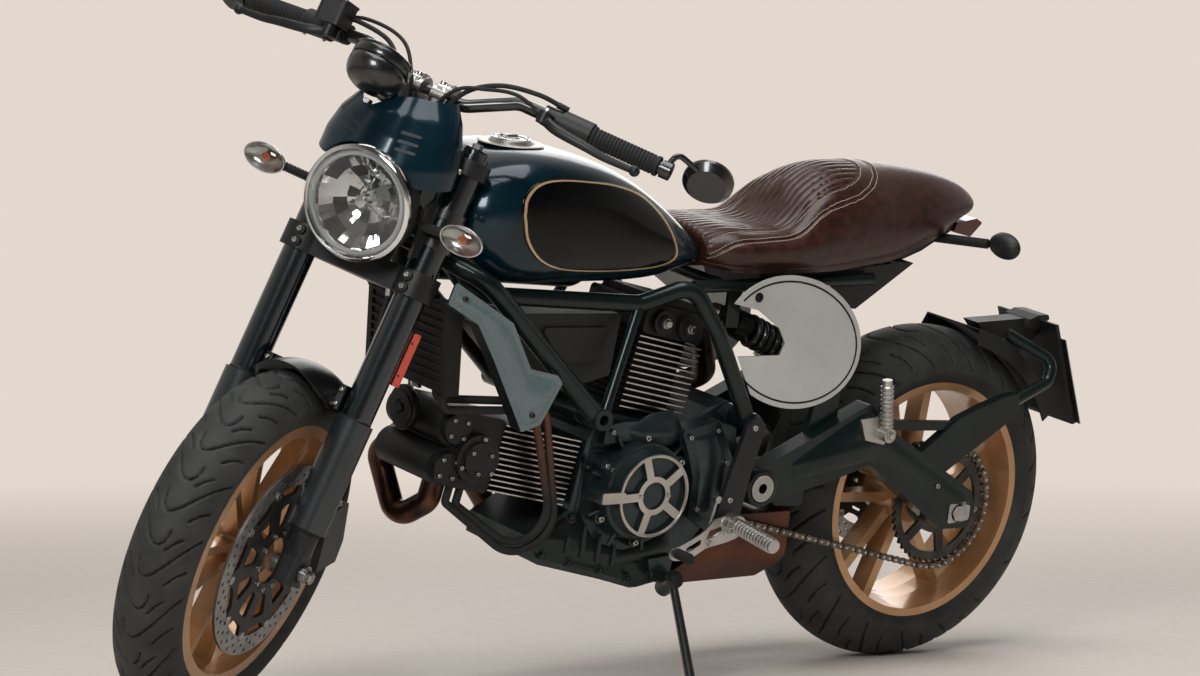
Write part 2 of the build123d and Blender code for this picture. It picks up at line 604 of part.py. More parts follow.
with BuildPart() as headlight_lens:
    dome_r = (LENS_R ** 2 + DOME_RISE ** 2) / (2 * DOME_RISE)
    half = asin(LENS_R / dome_r) / 2
    with BuildSketch(Plane(origin=LAMP, x_dir=(1, 0, 0), z_dir=(0, -1, 0))) as dome:
        with BuildLine():
            Polyline((4 + DOME_RISE, 0), (0, 0), (0, LENS_R), (4, LENS_R))
            ThreePointArc((4, LENS_R),
                          (4 + DOME_RISE - dome_r * (1 - cos(half)), dome_r * sin(half)),
                          (4 + DOME_RISE, 0))
        make_face()
    revolve(dome.sketch, axis=Axis(LAMP, (1, 0, 0)))
keep("headlight_lens", headlight_lens, steered=True)

DIAL = Plane(origin=(1268, -52, 1096), z_dir=(-0.62, 0, 0.78))
DIAL_R = 50.0

# Cowl sections: height, front of the arc, half width, side edge's X
COWL_SECTIONS = ((936, 1350, 118, 1262), (996, 1324, 111, 1241), (1056, 1270, 70, 1204))


def cowl_band(height, front, half, edge, inset):
    """One section of the nose cowl: a curved band, open at the back."""
    with BuildSketch(Plane.XY.offset(height)) as band:
        with BuildLine():
            outer = ThreePointArc((edge, half), (front, 0), (edge, -half))
            inner = ThreePointArc((edge, -half + inset), (front - inset, 0), (edge, half - inset))
            Line(outer @ 1, inner @ 0)
            Line(inner @ 1, outer @ 0)
        make_face()
    return band.sketch


with BuildPart() as nose_cowl:
    loft([cowl_band(*row, 4.0) for row in COWL_SECTIONS], ruled=True)
    for sign in (-1, 1):
        slab([(1264, 940), (1248, 996), (1230, 996), (1244, 940)],
             min(sign * 99.3, sign * 115), max(sign * 99.3, sign * 115))
    rod((1150, 0, LAMP.Z), (1400, 0, LAMP.Z), LAMP_R + 5, mode=Mode.SUBTRACT)
    rod(DIAL.offset(-70).origin, DIAL.offset(20).origin, DIAL_R + 4, mode=Mode.SUBTRACT)
keep("nose_cowl", nose_cowl, steered=True)

with BuildPart() as instrument:
    for top, depth, radius in ((0, 15, DIAL_R), (-15, 4, DIAL_R - 4), (-19, 17, DIAL_R - 1)):
        with BuildSketch(DIAL.offset(top)) as ring:
            Circle(radius)
        extrude(ring.sketch, amount=-depth)
    with BuildSketch(DIAL.offset(-36)) as waist:
        Circle(DIAL_R - 1)
    with BuildSketch(DIAL.offset(-58)) as tail:
        Circle(25)
    loft([waist.sketch, tail.sketch])
    tube([(1262, -52, 1082), (1238, -52, 1018), fork_point(26, -52, 748),
          fork_point(26, -52, UPPER_YOKE[1] + FIT)], 7, [20, 14])
keep("instrument", instrument, steered=True)

with BuildPart() as lamp_stays:
    for sign in (-1, 1):
        slab([(1240, 1000), (1222, 1002), (1230, 905), (1252, 850), (1290, 858), (1296, 900),
              (1262, 905)], sign * 96 - 3, sign * 96 + 3)
        slab([(1262, 812), (1300, 815), (1292, 860), (1250, 852)], sign * 96 - 3, sign * 96 + 3)
        for along in (560, 610):
            with BuildSketch(FORK.offset(along)) as band:
                with Locations((FORK_LEAD, sign * FORK_Y)):
                    Circle(OUTER_R + 4)
            extrude(band.sketch, amount=16)
        rod(fork_point(FORK_LEAD, sign * FORK_Y, 500), fork_point(FORK_LEAD, sign * FORK_Y, 740),
            OUTER_R + PIN_FIT, mode=Mode.SUBTRACT)
keep("lamp_stays", lamp_stays, steered=True)

INDICATOR = Vector(1320, 184, 884)
INDICATOR_R = 27.0


def indicator(root, centre, stalk_r):
    """Stalk and oval lamp of an indicator, added to the open part."""
    knee = Vector(*root) + Vector(0, 12, 0)
    rod(root, knee + Vector(0, 4, 0), stalk_r)
    rod(knee, centre, stalk_r)
    with BuildSketch(Plane(origin=centre, x_dir=(0, 1, 0), z_dir=(1, 0, 0))) as oval:
        Ellipse(INDICATOR_R + 12, INDICATOR_R - 3)
    with BuildSketch(Plane(origin=Vector(*centre) + Vector(15, 0, 0), x_dir=(0, 1, 0),
                           z_dir=(1, 0, 0))) as ahead:
        Ellipse(INDICATOR_R + 2, INDICATOR_R - 10)
    with BuildSketch(Plane(origin=Vector(*centre) - Vector(15, 0, 0), x_dir=(0, 1, 0),
                           z_dir=(1, 0, 0))) as behind:
        Ellipse(INDICATOR_R, INDICATOR_R - 12)
    loft([behind.sketch, oval.sketch, ahead.sketch])


with BuildPart() as front_indicators:
    indicator((1280, 99.3, 868), INDICATOR, 8)
    both_sides()
keep("front_indicators", front_indicators, steered=True)

# Front mudguard: a short curved shell over the tyre, held by the fork's outer tubes
GUARD_ARC = (76.0, 146.0)      # degrees from straight ahead, where it starts and ends
SHELL_R, SHELL_T = 70.0, 3.5   # the shell's section, an arc about a point in the tyre
SHELL_HALF_ARC = radians(76)
with BuildPart() as front_mudguard:
    heart = FRONT_R - 55.0
    with BuildSketch(Plane(origin=FRONT_AXLE, x_dir=(0, 1, 0), z_dir=(1, 0, 0))) as band:
        with BuildLine():
            ends = [[(sign * r * sin(SHELL_HALF_ARC), heart + r * cos(SHELL_HALF_ARC)) for sign in (-1, 1)]
                    for r in (SHELL_R, SHELL_R + SHELL_T)]
            ThreePointArc(ends[0][0], (0, heart + SHELL_R), ends[0][1])
            ThreePointArc(ends[1][0], (0, heart + SHELL_R + SHELL_T), ends[1][1])
            Line(ends[0][0], ends[1][0])
            Line(ends[0][1], ends[1][1])
        make_face()
    revolve(band.sketch, axis=Axis(FRONT_AXLE, (0, 1, 0)))
    reach = 600
    a, b = (radians(x) for x in GUARD_ARC)
    ax, az = FRONT_AXLE.X, FRONT_AXLE.Z
    slab([(ax, az), (ax + reach * cos(b), az + reach * sin(b)), (ax - reach, az - reach),
          (ax + reach, az - reach), (ax + reach, az), (ax + reach * cos(a), az + reach * sin(a))],
         -100, 100, mode=Mode.SUBTRACT)
    for sign in (-1, 1):
        with BuildSketch(FORK.offset(OUTER_LOW + 1)) as ear:
            with Locations((FORK_LEAD - 4, sign * 69.5)):
                Rectangle(46, 16)
        extrude(ear.sketch, amount=42)
keep("front_mudguard", front_mudguard, steered=True)

# Frame: trellis of round tubes around the engine, joined at four bosses
HEAD_LOW, HEAD_HIGH = LOWER_YOKE[1] + 1, UPPER_YOKE[0] - 1
DOWN_START = (1195, 10, 812)
DOWN_CORNER = (1088, 142, 752)
TOP_CORNER = (1090, 100, 724)
TOP_REAR = (740, 100, 702)
SEAT_NODE = (650, 124, 738)
SHOCK_TOP, SHOCK_LOW = (532, 60, 672), (322, 60, 583)

with BuildPart() as main_frame:
    tube([DOWN_START, DOWN_CORNER, (NODE_F[0], NODE_Y, NODE_F[1])], TUBE_R, 60)
    tube([(1180, 12, 866), TOP_CORNER, TOP_REAR, SEAT_NODE, (597, 144, 656),
          (NODE_R[0], NODE_Y, NODE_R[1])], TUBE_R - 1, [50, 50, 40, 80])
    rod((NODE_F[0] - 20, NODE_Y - 8, NODE_F[1] + 10), (742, 104, 706), 9)
    tube([(645, 120, 734), (500, 102, 732), (225, 98, 738)], 11, 90)
    for x, z in (NODE_F, NODE_R):
        rod((x, CASE_HALF + 4, z), (x, NODE_Y + 18, z), TUBE_R + 2)
    both_sides()
    rod((560, -104, 732), (560, 104, 732), 10)
    rod((1010, -102, 719), (1010, 102, 719), 10)
    slab([(518, 738), (546, 738), (546, 656), (518, 656)], 90, 98)
    rod((SHOCK_TOP[0], 40, SHOCK_TOP[2]), (SHOCK_TOP[0], 98, SHOCK_TOP[2]), 7)
    rod(fork_point(STEM_X, 0, HEAD_LOW), fork_point(STEM_X, 0, HEAD_HIGH), HEAD_R)
    rod(fork_point(STEM_X, 0, HEAD_LOW), fork_point(STEM_X, 0, HEAD_HIGH), STEM_R + RUN_FIT,
        mode=Mode.SUBTRACT)
    for x, z in (NODE_F, NODE_R):
        for sign in (-1, 1):
            rod((x, sign * (NODE_Y - 10), z), (x, sign * (NODE_Y + 20), z), 9, mode=Mode.SUBTRACT)
keep("main_frame", main_frame)

# Engine: crankcase with its side housings, then cylinders, covers and belts
CASE_OUTLINE = ((440, 360), (440, 410), (478, 446), (486, 508), (514, 524), (552, 512), (612, 478), (752, 508), (790, 506),
                (806, 464), (828, 344), (905, 300), (905, 262), (880, 250), (745, 216),
                (676, 196), (620, 206), (575, 250), (500, 330))
CASE_Y = 92.0
ALTERNATOR_R = 72.0
CHAIN_CLEAR_Y = CHAIN_Y + CHAIN_HALF_W + 2.5
STAND_PIVOT = Vector(613, 125, 216)
STAND_AXIS = Vector(0.118, 0.785, 0.609).normalized()

with BuildPart() as engine_cases:
    slab(CASE_OUTLINE, -CASE_Y, CASE_Y)
    chamfer(engine_cases.faces().filter_by(Axis.Y).edges().filter_by(
        lambda e: e.length > 60 and e.center().Z > 200), 5)
    for x, z in (NODE_F, NODE_R):
        rod((x, -CASE_HALF - 4 + FIT, z), (x, CASE_HALF + 4 - FIT, z), 19)
    slab([(760, 470), (800, 560), (845, 545), (850, 505), (800, 476)], -34, 34)
    rod((CRANK[0], CASE_Y - 2, CRANK[1]), (CRANK[0], 134, CRANK[1]), 92, 84)
    for k in range(6):
        a = radians(30 + 60 * k)
        rod((CRANK[0] + 92 * cos(a), CASE_Y - 2, CRANK[1] + 92 * sin(a)),
            (CRANK[0] + 92 * cos(a), 120, CRANK[1] + 92 * sin(a)), 10)
    slab([(664, 470), (690, 500), (752, 500), (786, 494), (790, 462)], CASE_Y - 2, 112, corner=6)
    rod((640, -CASE_Y + 2, 372), (640, -122, 372), 84, 76)
    rod((640, -122, 372), (640, -130, 372), 60)
    slab([(520, 430), (560, 500), (640, 484), (620, 444), (604, 400), (604, 330), (565, 306),
          (524, 316)], CHAIN_CLEAR_Y, 134, corner=8)
    slab([(552, 452), (566, 498), (640, 482), (622, 446)], CASE_Y - 2, CHAIN_CLEAR_Y + 1)
    slab([(600, 255), (604, 216), (640, 208), (655, 250)], CASE_Y - 4, 103)
    rod(STAND_PIVOT - STAND_AXIS * 38, STAND_PIVOT - STAND_AXIS * 8.3, 15)
    rod(STAND_PIVOT - STAND_AXIS * 10, STAND_PIVOT + STAND_AXIS * 9, 6)
    rod((PIVOT[0], -130, PIVOT[1]), (PIVOT[0], 130, PIVOT[1]), 17 + FIT, mode=Mode.SUBTRACT)
keep("engine_cases", engine_cases)

with BuildPart() as alternator_cover:
    rod((CRANK[0], 134 + FIT, CRANK[1]), (CRANK[0], 152, CRANK[1]), 78, ALTERNATOR_R)
    with BuildSketch(side(160)) as star:
        with Locations(CRANK):
            Circle(ALTERNATOR_R)
            Circle(ALTERNATOR_R - 5, mode=Mode.SUBTRACT)
            Circle(34)
            with PolarLocations(0, 5, start_angle=70):
                with Locations((50, 0)):
                    Rectangle(40, 15)
            Circle(24, mode=Mode.SUBTRACT)
    extrude(star.sketch, amount=8.5)
keep("alternator_cover", alternator_cover)


def bore(tilt, along, across):
    """X and Z of a point of a cylinder's own frame: along its bore and across it."""
    a = radians(tilt)
    return (CRANK[0] + along * cos(a) - across * sin(a), CRANK[1] + along * sin(a) + across * cos(a))


def bore_block(tilt, low, high, across, half, corner=0.0):
    """A block square to a cylinder's bore, symmetrical about the middle of the machine."""
    slab([bore(tilt, low, -across), bore(tilt, high, -across), bore(tilt, high, across),
          bore(tilt, low, across)], -half, half, corner=corner)


FINS = 13
FIN_T = 2.6
FRONT_BORE, REAR_BORE = CYLINDER_TILT, CYLINDER_TILT + 90
with BuildPart() as front_cylinder:
    bore_block(FRONT_BORE, 118, 292, 46, 60)
    for i in range(FINS):
        across = -56 + 112 * i / (FINS - 1)
        slab([bore(FRONT_BORE, 128, across - FIN_T / 2), bore(FRONT_BORE, 292, across - FIN_T / 2),
              bore(FRONT_BORE, 292, across + FIN_T / 2), bore(FRONT_BORE, 128, across + FIN_T / 2)],
             -88, 88)
    bore_block(FRONT_BORE, 290, 384, 64, 84, corner=10)
    for across in (-34, 34):
        x, z = bore(FRONT_BORE, 388, across)
        rod((x, -78, z), (x, 78, z), 32)
        rod((x, 78, z), (x, 92, z), 26)
    x, z = bore(FRONT_BORE, 337, -8)
    rod((x, -90, z), (x, 100, z), 42)
    rod((x, 100, z), (x, 106, z), 30)
keep("front_cylinder", front_cylinder)

with BuildPart() as rear_cylinder:
    bore_block(REAR_BORE, 118, 262, 52, 62)
    for i in range(FINS):
        along = 130 + 124 * i / (FINS - 1)
        bore_block(REAR_BORE, along - FIN_T / 2, along + FIN_T / 2, 70, 88)
    bore_block(REAR_BORE, 260, 312, 66, 84, corner=8)
    bore_block(REAR_BORE, 308, 326, 54, 70, corner=4)
    for along, across in ((285, -30), (285, 26)):
        x, z = bore(REAR_BORE, along, across)
        rod((x, -90, z), (x, 94, z), 22)
        rod((x, 94, z), (x, 99, z), 13)
keep("rear_cylinder", rear_cylinder)

with BuildPart() as belt_covers:
    for tilt, far in ((FRONT_BORE, 336), (REAR_BORE, 300)):
        slab([bore(tilt, 80, -34), bore(tilt, far, -44), bore(tilt, far + 22, 0),
              bore(tilt, far, 44), bore(tilt, 80, 34)], -112, -96.5, corner=12)
    rod((CRANK[0] + 40, -112, CRANK[1] + 46), (CRANK[0] + 40, -CASE_Y - FIT, CRANK[1] + 46), 40)
    rod((640, -140, 372), (640, -90, 372), 85, mode=Mode.SUBTRACT)
keep("belt_covers", belt_covers)

with BuildPart() as airbox:
    slab([(772, 575), (762, 682), (1000, 686), (985, 640), (900, 560), (850, 556)], -82, 82, corner=8)
    for sign in (-1, 1):
        slab([(800, 600), (790, 660), (930, 662), (880, 600)], sign * 84 - 4, sign * 84 + 4, corner=6)
keep("airbox", airbox)

with BuildPart() as oil_cooler:
    slab([(1108, 560), (1130, 560), (1140, 704), (1118, 704)], -104, 104)
    for i in range(9):
        z = 574 + 14.5 * i
        x = 1108 + 10 * (z - 560) / 144
        slab([(x - 3, z), (x + 26, z), (x + 26, z + 4), (x - 3, z + 4)], -110, 110)
    for sign in (-1, 1):
        slab([(1104, 558), (1134, 558), (1144, 708), (1114, 708)], sign * 112 - 6, sign * 112 + 6)
keep("oil_cooler", oil_cooler)

SHROUD_Y = 162.0
with BuildPart() as side_shrouds:
    slab([(1168, 760), (1046, 690), (1000, 612), (944, 600), (932, 586), (968, 517), (1005, 506),
          (1077, 629), (1116, 689), (1180, 724)], SHROUD_Y, SHROUD_Y + 4, corner=5)
    slab([(1005, 506), (1077, 629), (1116, 689), (1180, 724), (1176, 730), (1112, 694),
          (1072, 632), (1000, 508)], SHROUD_Y - 26, SHROUD_Y + 1)
    rod((966, 118, 560), (966, SHROUD_Y + 1, 560), 8)
    both_sides()
keep("side_shrouds", side_shrouds)

HEADER_R = 20.0
PORT_F, PORT_FE = bore(FRONT_BORE, 338, -64 - FIT), bore(FRONT_BORE, 338, -106)
PORT_R, PORT_RE = bore(REAR_BORE, 285, 66 + FIT), bore(REAR_BORE, 285, 130)
BOX_HALF = 96.0
FRONT_HEADER = ((PORT_F[0], 0, PORT_F[1]), (PORT_FE[0], 0, PORT_FE[1]), (1084, -50, 305),
                (1082, -126, 400), (1010, -154, 436), (930, -154, 420), (800, -160, 262),
                (545, -160, 220), (545, -BOX_HALF - FIT, 220))
REAR_HEADER = ((PORT_R[0], 0, PORT_R[1]), (PORT_RE[0], 0, PORT_RE[1]), (430, -80, 530),
               (440, -192, 470), (450, -192, 262), (450, -BOX_HALF - FIT, 262))
with BuildPart() as exhaust_headers:
    tube(FRONT_HEADER, HEADER_R, [24, 30, 26, 26, 60, 90, 40])
    tube(REAR_HEADER, HEADER_R, [40, 60, 50, 40])
keep("exhaust_headers", exhaust_headers)

with BuildPart() as exhaust_box:
    slab([(340, 318), (340, 222), (372, 190), (586, 186), (590, 202), (562, 244), (496, 318)],
         -BOX_HALF, BOX_HALF, corner=6)
    with BuildSketch(Plane.YZ.offset(300)) as under:
        with BuildLine():
            Polyline((BOX_HALF + 1, 160), (BOX_HALF + 1, 244), (BOX_HALF - 4, 232), (BOX_HALF - 44, 182),
                     (BOX_HALF - 60, 160), close=True)
        make_face()
    extrude(under.sketch, amount=320, mode=Mode.SUBTRACT)
keep("exhaust_box", exhaust_box)

SILENCER_R = 44.0
CAN_PROFILE = ((0, 0), (0, 26), (22, SILENCER_R), (334, SILENCER_R), (360, 30), (360, 22), (310, 22),
               (310, 0))               # along the can and out from its axis
SILENCERS = ((290, 0), (214, -98))     # outlet height on the box, drop of the can
with BuildPart() as silencers:
    for z, drop in SILENCERS:
        mouth, tail = Vector(322, -216, 299 + drop), Vector(-38, -224.5, 399 + drop)
        run = (tail - mouth).normalized()
        tube([(384, -BOX_HALF - FIT, z), (384, -214, z), tuple(mouth + run * 12)], 24, 34)
        across = run.cross(Vector(0, 1, 0)).normalized()
        with BuildSketch(Plane(origin=mouth, x_dir=run, z_dir=run.cross(across))) as can:
            with BuildLine():
                Polyline(*CAN_PROFILE, close=True)
            make_face()
        revolve(can.sketch, axis=Axis(mouth, run))
keep("silencers", silencers)


# Tank and seat: sections square to the direction of travel, each a flat floor and one curve
def section(x, low, half_low, flank, top):
    """A section at this X: floor height and half width, points up the flank, top height."""
    with BuildSketch(Plane(origin=(x, 0, 0), x_dir=(0, 1, 0), z_dir=(1, 0, 0))) as outline:
        with BuildLine():
            Line((-half_low, low), (half_low, low))
            Spline((half_low, low), *flank, (0, top), *[(-y, z) for y, z in reversed(flank)],
                   (-half_low, low))
        make_face()
    return outline.sketch


TANK_SECTIONS = (
    (612, 766, 66, ((80, 778), (76, 796), (50, 810)), 814),
    (662, 758, 82, ((102, 778), (100, 808), (70, 840)), 848),
    (730, 746, 90, ((116, 778), (120, 820), (98, 870)), 892),
    (814, 742, 94, ((129, 780), (135, 838), (116, 902)), 930),
    (900, 742, 98, ((139, 785), (146, 845), (128, 920)), 952),
    (992, 742, 102, ((146, 790), (152, 850), (132, 928)), 956),
    (1053, 754, 100, ((142, 802), (150, 862), (128, 920)), 946),
    (1104, 792, 84, ((122, 818), (130, 858), (108, 900)), 922),
    (1126, 822, 50, ((80, 836), (88, 858), (70, 884)), 900),
)
CAP = (973.0, 0.0, 957.0)
CAP_R = 30.0
with BuildPart() as fuel_tank:
    loft([section(*row) for row in TANK_SECTIONS])
    rod((CAP[0], 0, CAP[2] - 14), (CAP[0], 0, CAP[2] + 10), CAP_R + FIT, mode=Mode.SUBTRACT)
keep("fuel_tank", fuel_tank)

with BuildPart() as fuel_cap:
    rod((CAP[0], 0, CAP[2] - 14 + FIT), (CAP[0], 0, CAP[2] + 1), CAP_R)
    rod((CAP[0], 0, CAP[2] + 1), (CAP[0], 0, CAP[2] + 7), CAP_R + 7, CAP_R + 4)
    rod((CAP[0], 0, CAP[2] + 7), (CAP[0], 0, CAP[2] + 10), 14)
keep("fuel_cap", fuel_cap)

SEAT_SECTIONS = (
    (608, 764, 66, ((88, 782), (84, 804), (56, 822)), 828),
    (556, 757, 112, ((124, 778), (120, 804), (80, 826)), 830),
    (500, 755, 118, ((130, 778), (127, 806), (88, 824)), 826),
    (430, 755, 120, ((133, 781), (131, 810), (94, 830)), 832),
    (370, 756, 118, ((130, 785), (128, 825), (90, 876)), 896),
    (313, 758, 112, ((124, 790), (119, 845), (78, 904)), 927),
    (240, 764, 100, ((113, 800), (108, 860), (64, 914)), 932),
    (164, 772, 88, ((100, 810), (95, 862), (54, 912)), 929),
    (60, 802, 66, ((82, 832), (78, 870), (44, 906)), 917),
    (-15, 833, 42, ((56, 848), (54, 872), (30, 892)), 899),
    (-62, 842, 18, ((28, 850), (30, 862), (16, 872)), 875),
)
with BuildPart() as seat:
    loft([section(*row) for row in SEAT_SECTIONS])
keep("seat", seat)

TAIL_HALF = 36.0
with BuildPart() as undertray:
    slab([(470, 748), (455, 705), (240, 680), (116, 762), (164, 762), (300, 750)], -82, 82)
    slab([(170, 740), (150, 764), (60, 790), (-12, 827), (-4, 809), (60, 774), (140, 745)],
         -TAIL_HALF, TAIL_HALF)
keep("undertray", undertray)

with BuildPart() as tail_light:
    slab([(-16, 826), (-9, 809), (-52, 800), (-78, 826), (-62, 834)], -40, 40, corner=3)
keep("tail_light", tail_light)

with BuildPart() as rear_indicators:
    indicator((30, TAIL_HALF + FIT, 799), Vector(-14, 172, 811), 9)
    both_sides()
keep("rear_indicators", rear_indicators)

PLATE_MID = (438.0, 641.0)
NOTCH = ((700, 760), (626, 722), (523, 699), (474, 668), (456, 640), (464, 619), (700, 619))
with BuildPart() as side_plates:
    with BuildSketch(side(156)) as oval:
        with Locations(Location((PLATE_MID[0], PLATE_MID[1], 0), (0, 0, 15.8))):
            Ellipse(160, 115)
        with BuildLine():
            Polyline(*NOTCH, close=True)
        make_face(mode=Mode.SUBTRACT)
    extrude(oval.sketch, amount=3)
    rod((490, 104, 728), (490, 153.5, 728), 6)
    rod((335, 104, 728), (335, 153.5, 700), 6)
    tube([TOP_REAR, SEAT_NODE, (597, 144, 656), (NODE_R[0], NODE_Y, NODE_R[1])], TUBE_R + 3,
         [40, 80], mode=Mode.SUBTRACT)
    tube([(645, 120, 734), (500, 102, 732), (225, 98, 738)], 11 + FIT, 90, mode=Mode.SUBTRACT)
    both_sides()
keep("side_plates", side_plates)

with BuildPart() as shock:
    a, b = Vector(*SHOCK_TOP), Vector(*SHOCK_LOW)
    rod(a, b, 13)
    rod(a + (b - a) * 0.14, a + (b - a) * 0.3, 27)
    rod(a + (b - a) * 0.3, a + (b - a) * 0.82, 30)
    rod(a + (b - a) * 0.82, a + (b - a) * 0.87, 33)
    for end in (a, b):
        rod((end.X, 44, end.Z), (end.X, 76, end.Z), 17)
        rod((end.X, 40, end.Z), (end.X, 80, end.Z), 7 + FIT, mode=Mode.SUBTRACT)
keep("shock", shock)

# Swingarm: two arched legs and a cross member between the chain's runs; loop on the left
LEG = ((484, 416), (300, 500), (243, 527), (199, 484), (-30, 353), (-44, 318), (-30, 284),
       (37, 286), (225, 414), (310, 390), (474, 350))
with BuildPart() as swingarm:
    for sign in (-1, 1):
        low, high = sorted((sign * ARM_Y[0], sign * ARM_Y[1]))
        slab(LEG, low, high, corner=9)
        rod((PIVOT[0], low, PIVOT[1]), (PIVOT[0], high, PIVOT[1]), 34)
    slab([(300, 598), (344, 598), (370, 440), (300, 460)], 128, 140)
    slab([(344, 336), (344, 396), (412, 396), (412, 340)], -ARM_Y[0] - 2, ARM_Y[0] + 2, corner=10)
    slab([(210, 474), (117, 468), (-10, 464), (-60, 490), (-52, 504), (0, 480), (118, 486), (200, 492)],
         132, 144)
    slab([(130, 402), (74, 362), (-98, 470), (-130, 498), (-126, 530), (-96, 526), (-40, 508), (12, 488)],
         130, 150, corner=5)
    tube([(-112, 139, 508), (-226, 116, 540), (-246, 104, 576), (-159.3, 62, 621)], 11, [24, 24])
    rod((PIVOT[0], -170, PIVOT[1]), (PIVOT[0], 170, PIVOT[1]), 17 + FIT, mode=Mode.SUBTRACT)
    rod((0, -170, REAR_R), (0, 170, REAR_R), REAR_AXLE_R + FIT, mode=Mode.SUBTRACT)
    rod((SHOCK_LOW[0], 42, SHOCK_LOW[2]), (SHOCK_LOW[0], 140, SHOCK_LOW[2]), 7)
keep("swingarm", swingarm)

with BuildPart() as swingarm_pivot:
    rod((PIVOT[0], -166, PIVOT[1]), (PIVOT[0], 166, PIVOT[1]), 17)
    for sign in (-1, 1):
        low, high = sorted((sign * (ARM_Y[1] + FIT), sign * 167))
        rod((PIVOT[0], low, PIVOT[1]), (PIVOT[0], high, PIVOT[1]), 24)
    rod((PIVOT[0], -168, PIVOT[1]), (PIVOT[0], 168, PIVOT[1]), PIVOT_BORE_R, mode=Mode.SUBTRACT)
keep("swingarm_pivot", swingarm_pivot)

HUGGER_R = REAR_R + 14
with BuildPart() as plate_holder:
    spin([(-82, HUGGER_R - 30), (-74, HUGGER_R), (74, HUGGER_R), (82, HUGGER_R - 30),
          (79, HUGGER_R - 30), (71.5, HUGGER_R - 3), (-71.5, HUGGER_R - 3), (-79, HUGGER_R - 30)],
         REAR_AXLE)
    a, b = radians(104), radians(152)
    slab([(0, REAR_R), (600 * cos(b), REAR_R + 600 * sin(b)), (-900, -600), (900, -600),
          (900, 900), (600 * cos(a), REAR_R + 600 * sin(a))], -100, 100, mode=Mode.SUBTRACT)
    a = radians(117.5)
    rod((326 * cos(a), 62, REAR_R + 326 * sin(a)), (333.2 * cos(a), 62, REAR_R + 333.2 * sin(a)), 6)
    slab([(-150, 604), (-120, 634), (-262, 640), (-282, 616), (-276, 604), (-220, 560)], -20, 20)
    slab([(-262, 640), (-270, 640), (-352, 448), (-344, 446)], -80, 80)
    slab([(-262, 648), (-240, 640), (-236, 624), (-262, 620), (-290, 640), (-286, 648)], -34, 34)
keep("plate_holder", plate_holder)

with BuildPart() as licence_plate:
    slab([(-284, 612), (-285.5, 612.6), (-355.5, 449.6), (-354, 449)], -90, 90)
keep("licence_plate", licence_plate)

with BuildPart() as rear_caliper:
    slab([(40, 404), (108, 352), (142, 392), (76, 444)], -ARM_Y[0] + FIT, -62, corner=6)
    spin([(REAR_DISC_Y - 4, 60), (REAR_DISC_Y + REAR_DISC_T + 4, 60),
          (REAR_DISC_Y + REAR_DISC_T + 4, REAR_DISC_R + 4), (REAR_DISC_Y - 4, REAR_DISC_R + 4)],
         REAR_AXLE, mode=Mode.SUBTRACT)
keep("rear_caliper", rear_caliper)

with BuildPart() as foot_controls:
    slab([(492, 500), (512, 520), (534, 500), (578, 344), (560, 316), (530, 320), (512, 420)],
         NODE_Y + 18 + FIT, NODE_Y + 28, corner=6)
    rod((547, NODE_Y + 26, 332), (547, 302, 322), 12)
    rod((547, NODE_Y + 26, 332), (547, 200, 330.5), 18)
    tube([(560, 186, 322), (622, 186, 286), (664, 186, 286)], 6, 30)
    rod((560, NODE_Y + 27, 322), (560, 194, 322), 11)
    rod((664, 180, 286), (664, 228, 286), 8)
    both_sides()
keep("foot_controls", foot_controls)

with BuildPart() as passenger_pegs:
    slab([(268, 500), (252, 462), (206, 452), (198, 480), (226, 504)], ARM_Y[1] + FIT, ARM_Y[1] + 7, corner=4)
    rod((214, ARM_Y[1] + 5, 474), (214, 190, 474), 13)
    rod((212, 180, 464), (230, 180, 574), 9)
    both_sides()
keep("passenger_pegs", passenger_pegs)

with BuildPart() as oil_hoses:
    for k in (0, 1):
        outlet, above = bore(FRONT_BORE, 338 + 22 * k, -64 - FIT), bore(FRONT_BORE, 338 + 22 * k, -92)
        tube([(1119, 96 - 22 * k, 559.7), (1119, 96 - 22 * k, 530 + 14 * k), (950 - 20 * k, 122, 530 + 14 * k),
              (886 - 12 * k, 119, 330 - 16 * k), (960, 112, 292 - 16 * k), (above[0], 74, above[1]),
              (outlet[0], 74, outlet[1])], 7, [14, 40, 56, 60, 8])
keep("oil_hoses", oil_hoses)

# Parked place: lift and nose-down pitch at which both tyres touch the floor
LEAN_A = radians(LEAN)


def steered_vector(v, angle):
    """A vector turned about the steering axis by this many degrees."""
    a = radians(angle)
    return v * cos(a) + UP_FORK.cross(v) * sin(a) + UP_FORK * (UP_FORK.dot(v) * (1 - cos(a)))


def parked_vector(v, pitch):
    """A vector of the upright machine, pitched nose down and then leaned to the left."""
    p = radians(pitch)
    x, z = v.X * cos(p) + v.Z * sin(p), v.Z * cos(p) - v.X * sin(p)
    return Vector(x, v.Y * cos(LEAN_A) + z * sin(LEAN_A), z * cos(LEAN_A) - v.Y * sin(LEAN_A))


def lowest(centre, axle, profile, pitch):
    """Height of a tyre's lowest point above the floor, before the lift."""
    c, n = parked_vector(centre, pitch), parked_vector(axle, pitch)
    flat = sqrt(1 - n.Z * n.Z)
    return min(c.Z + y * n.Z - r * flat for y, r in profile)


def wheel_heights(pitch):
    """Lowest points of the front and the rear tyre at this pitch."""
    centre = STEER_FOOT + steered_vector(FRONT_AXLE - STEER_FOOT, STEER_REST)
    axle = steered_vector(Vector(0, 1, 0), STEER_REST)
    return (lowest(centre, axle, tyre_profile(FRONT_R, FRONT_HALF, FRONT_BEAD), pitch),
            lowest(REAR_AXLE, Vector(0, 1, 0), tyre_profile(REAR_R, REAR_HALF, REAR_BEAD), pitch))


